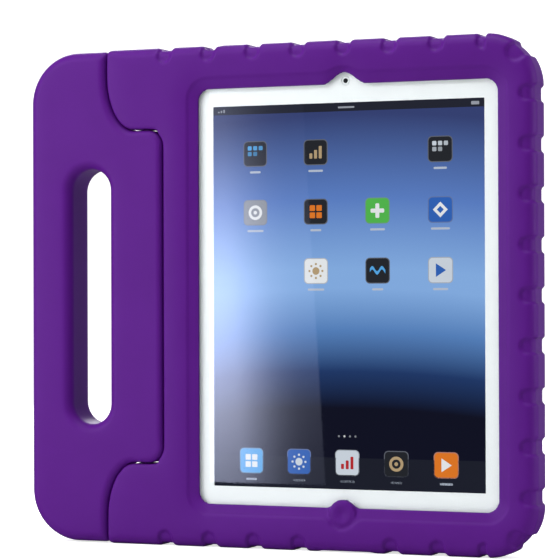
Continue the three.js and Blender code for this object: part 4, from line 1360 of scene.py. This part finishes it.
def reflector_finish(sizes):
    """Light that grows leftwards from the sheet's leaning right edge, brightest below the middle."""
    material, node, link, shader = new_material("reflector_light")
    material.node_tree.nodes.remove(shader)
    place = node("ShaderNodeSeparateXYZ")
    link(place_in_object(node), place.inputs["Vector"])
    lean = maths(node, link, "MULTIPLY", place.outputs["Z"], sizes.reflector_slant)
    across = maths(node, link, "ADD", place.outputs["X"], lean)
    edge = CENTRE.x + sizes.reflector_edge + sizes.reflector_slant * CENTRE.z
    sideways = level_curve(node, link, across, edge, edge - REFLECTOR_FADE, LIGHT_SIDEWAYS)
    low = CENTRE.z - sizes.reflector_top
    high = CENTRE.z + sizes.reflector_top
    upward = level_curve(node, link, place.outputs["Z"], low, high, LIGHT_UPWARD)
    both = maths(node, link, "MULTIPLY", sideways, upward)
    glow = node("ShaderNodeEmission", {"Color": REFLECTOR_TONE})
    link(maths(node, link, "MULTIPLY", both, sizes.reflector_light), glow.inputs["Strength"])
    only_surface(material, link, glow.outputs["Emission"])
    return material


def add_reflector(sizes):
    """A lit sheet at the left front, which only shows in the glass and as a soft gloss on the foam."""
    top = sizes.reflector_top
    foot = MM - CENTRE.z
    right = sizes.reflector_edge
    left = right - sizes.reflector_width
    outline = [
        (right - sizes.reflector_slant * foot, foot),
        (left, foot),
        (left, top),
        (right - sizes.reflector_slant * top, top),
    ]
    corners = [CENTRE + Vector((across, -sizes.reflector_back, rise)) for across, rise in outline]
    mesh = bpy.data.meshes.new("reflector")
    mesh.from_pydata(corners, [], [(0, 1, 2, 3)])
    mesh.materials.append(reflector_finish(sizes))
    sheet = in_scene("reflector", mesh)
    sheet.visible_camera = False
    sheet.visible_diffuse = False
    sheet.visible_shadow = False


def add_world(scene, sizes):
    """Even light all round, white where it is seen, and dim where gloss and glass mirror it."""
    world = bpy.data.worlds.new("studio")
    world.use_nodes = True
    node = node_maker(world.node_tree)
    link = world.node_tree.links.new
    path = node("ShaderNodeLightPath")
    straight = node("ShaderNodeMapRange", {"To Min": sizes.ambient})
    link(seen_straight(node, link, path), straight.inputs["Value"])
    level = node("ShaderNodeMapRange", {"To Max": sizes.mirrored})
    link(path.outputs["Is Glossy Ray"], level.inputs["Value"])
    link(straight.outputs["Result"], level.inputs["To Min"])
    background = world.node_tree.nodes["Background"]
    background.inputs["Color"].default_value = (1, 1, 1, 1)
    link(level.outputs["Result"], background.inputs["Strength"])
    scene.world = world


class TABLETCASE_OT_stage(bpy.types.Operator):
    """Sets the camera, the lamps, the world, and a white floor that sweeps up into a backdrop."""

    bl_idname = "tabletcase.stage"
    bl_label = "Stage"

    def execute(self, context):
        scene = context.scene
        scene.view_settings.view_transform = "Standard"
        sizes = stage_sizes()
        add_camera(scene, sizes)
        add_floor(sizes)
        add_reflector(sizes)
        for lamp in LAMPS:
            area_lamp(*lamp)
        add_world(scene, sizes)
        return {"FINISHED"}


class TABLETCASE_PT_panel(bpy.types.Panel):
    """Lists the sizes and the makers of each piece."""

    bl_label = "Tablet case"
    bl_idname = "TABLETCASE_PT_panel"
    bl_space_type = "VIEW_3D"
    bl_region_type = "UI"
    bl_category = "Tablet case"

    def draw(self, context):
        for operator in OPERATORS:
            self.layout.operator(operator.bl_idname)
        for group in (foam_sizes(), screen_sizes(), finishes(), stage_sizes()):
            box = self.layout.box()
            for key in group.__annotations__:
                box.prop(group, key)


OPERATORS = (
    TABLETCASE_OT_stage,
    TABLETCASE_OT_case_foam,
    TABLETCASE_OT_handle_foam,
    TABLETCASE_OT_tablet,
    TABLETCASE_OT_screen,
    TABLETCASE_OT_inner_parts,
)
GROUPS = {
    "tabletcase_foam": TABLETCASE_FoamSizes,
    "tabletcase_finishes": TABLETCASE_Finishes,
    "tabletcase_screen": TABLETCASE_ScreenSizes,
    "tabletcase_stage": TABLETCASE_StageSizes,
}


def register():
    for group in GROUPS.values():
        bpy.utils.register_class(group)
    for name, group in GROUPS.items():
        setattr(bpy.types.Scene, name, bpy.props.PointerProperty(type=group))
    for operator in OPERATORS:
        bpy.utils.register_class(operator)
    bpy.utils.register_class(TABLETCASE_PT_panel)


def unregister():
    bpy.utils.unregister_class(TABLETCASE_PT_panel)
    for operator in reversed(OPERATORS):
        bpy.utils.unregister_class(operator)
    for name, group in GROUPS.items():
        delattr(bpy.types.Scene, name)
        bpy.utils.unregister_class(group)


def main():
    """Builds every piece."""
    register()
    bpy.ops.tabletcase.stage()
    bpy.ops.tabletcase.case_foam()
    bpy.ops.tabletcase.handle_foam()
    bpy.ops.tabletcase.tablet()
    bpy.ops.tabletcase.screen()
    bpy.ops.tabletcase.inner_parts()


if __name__ == "__main__":
    main()
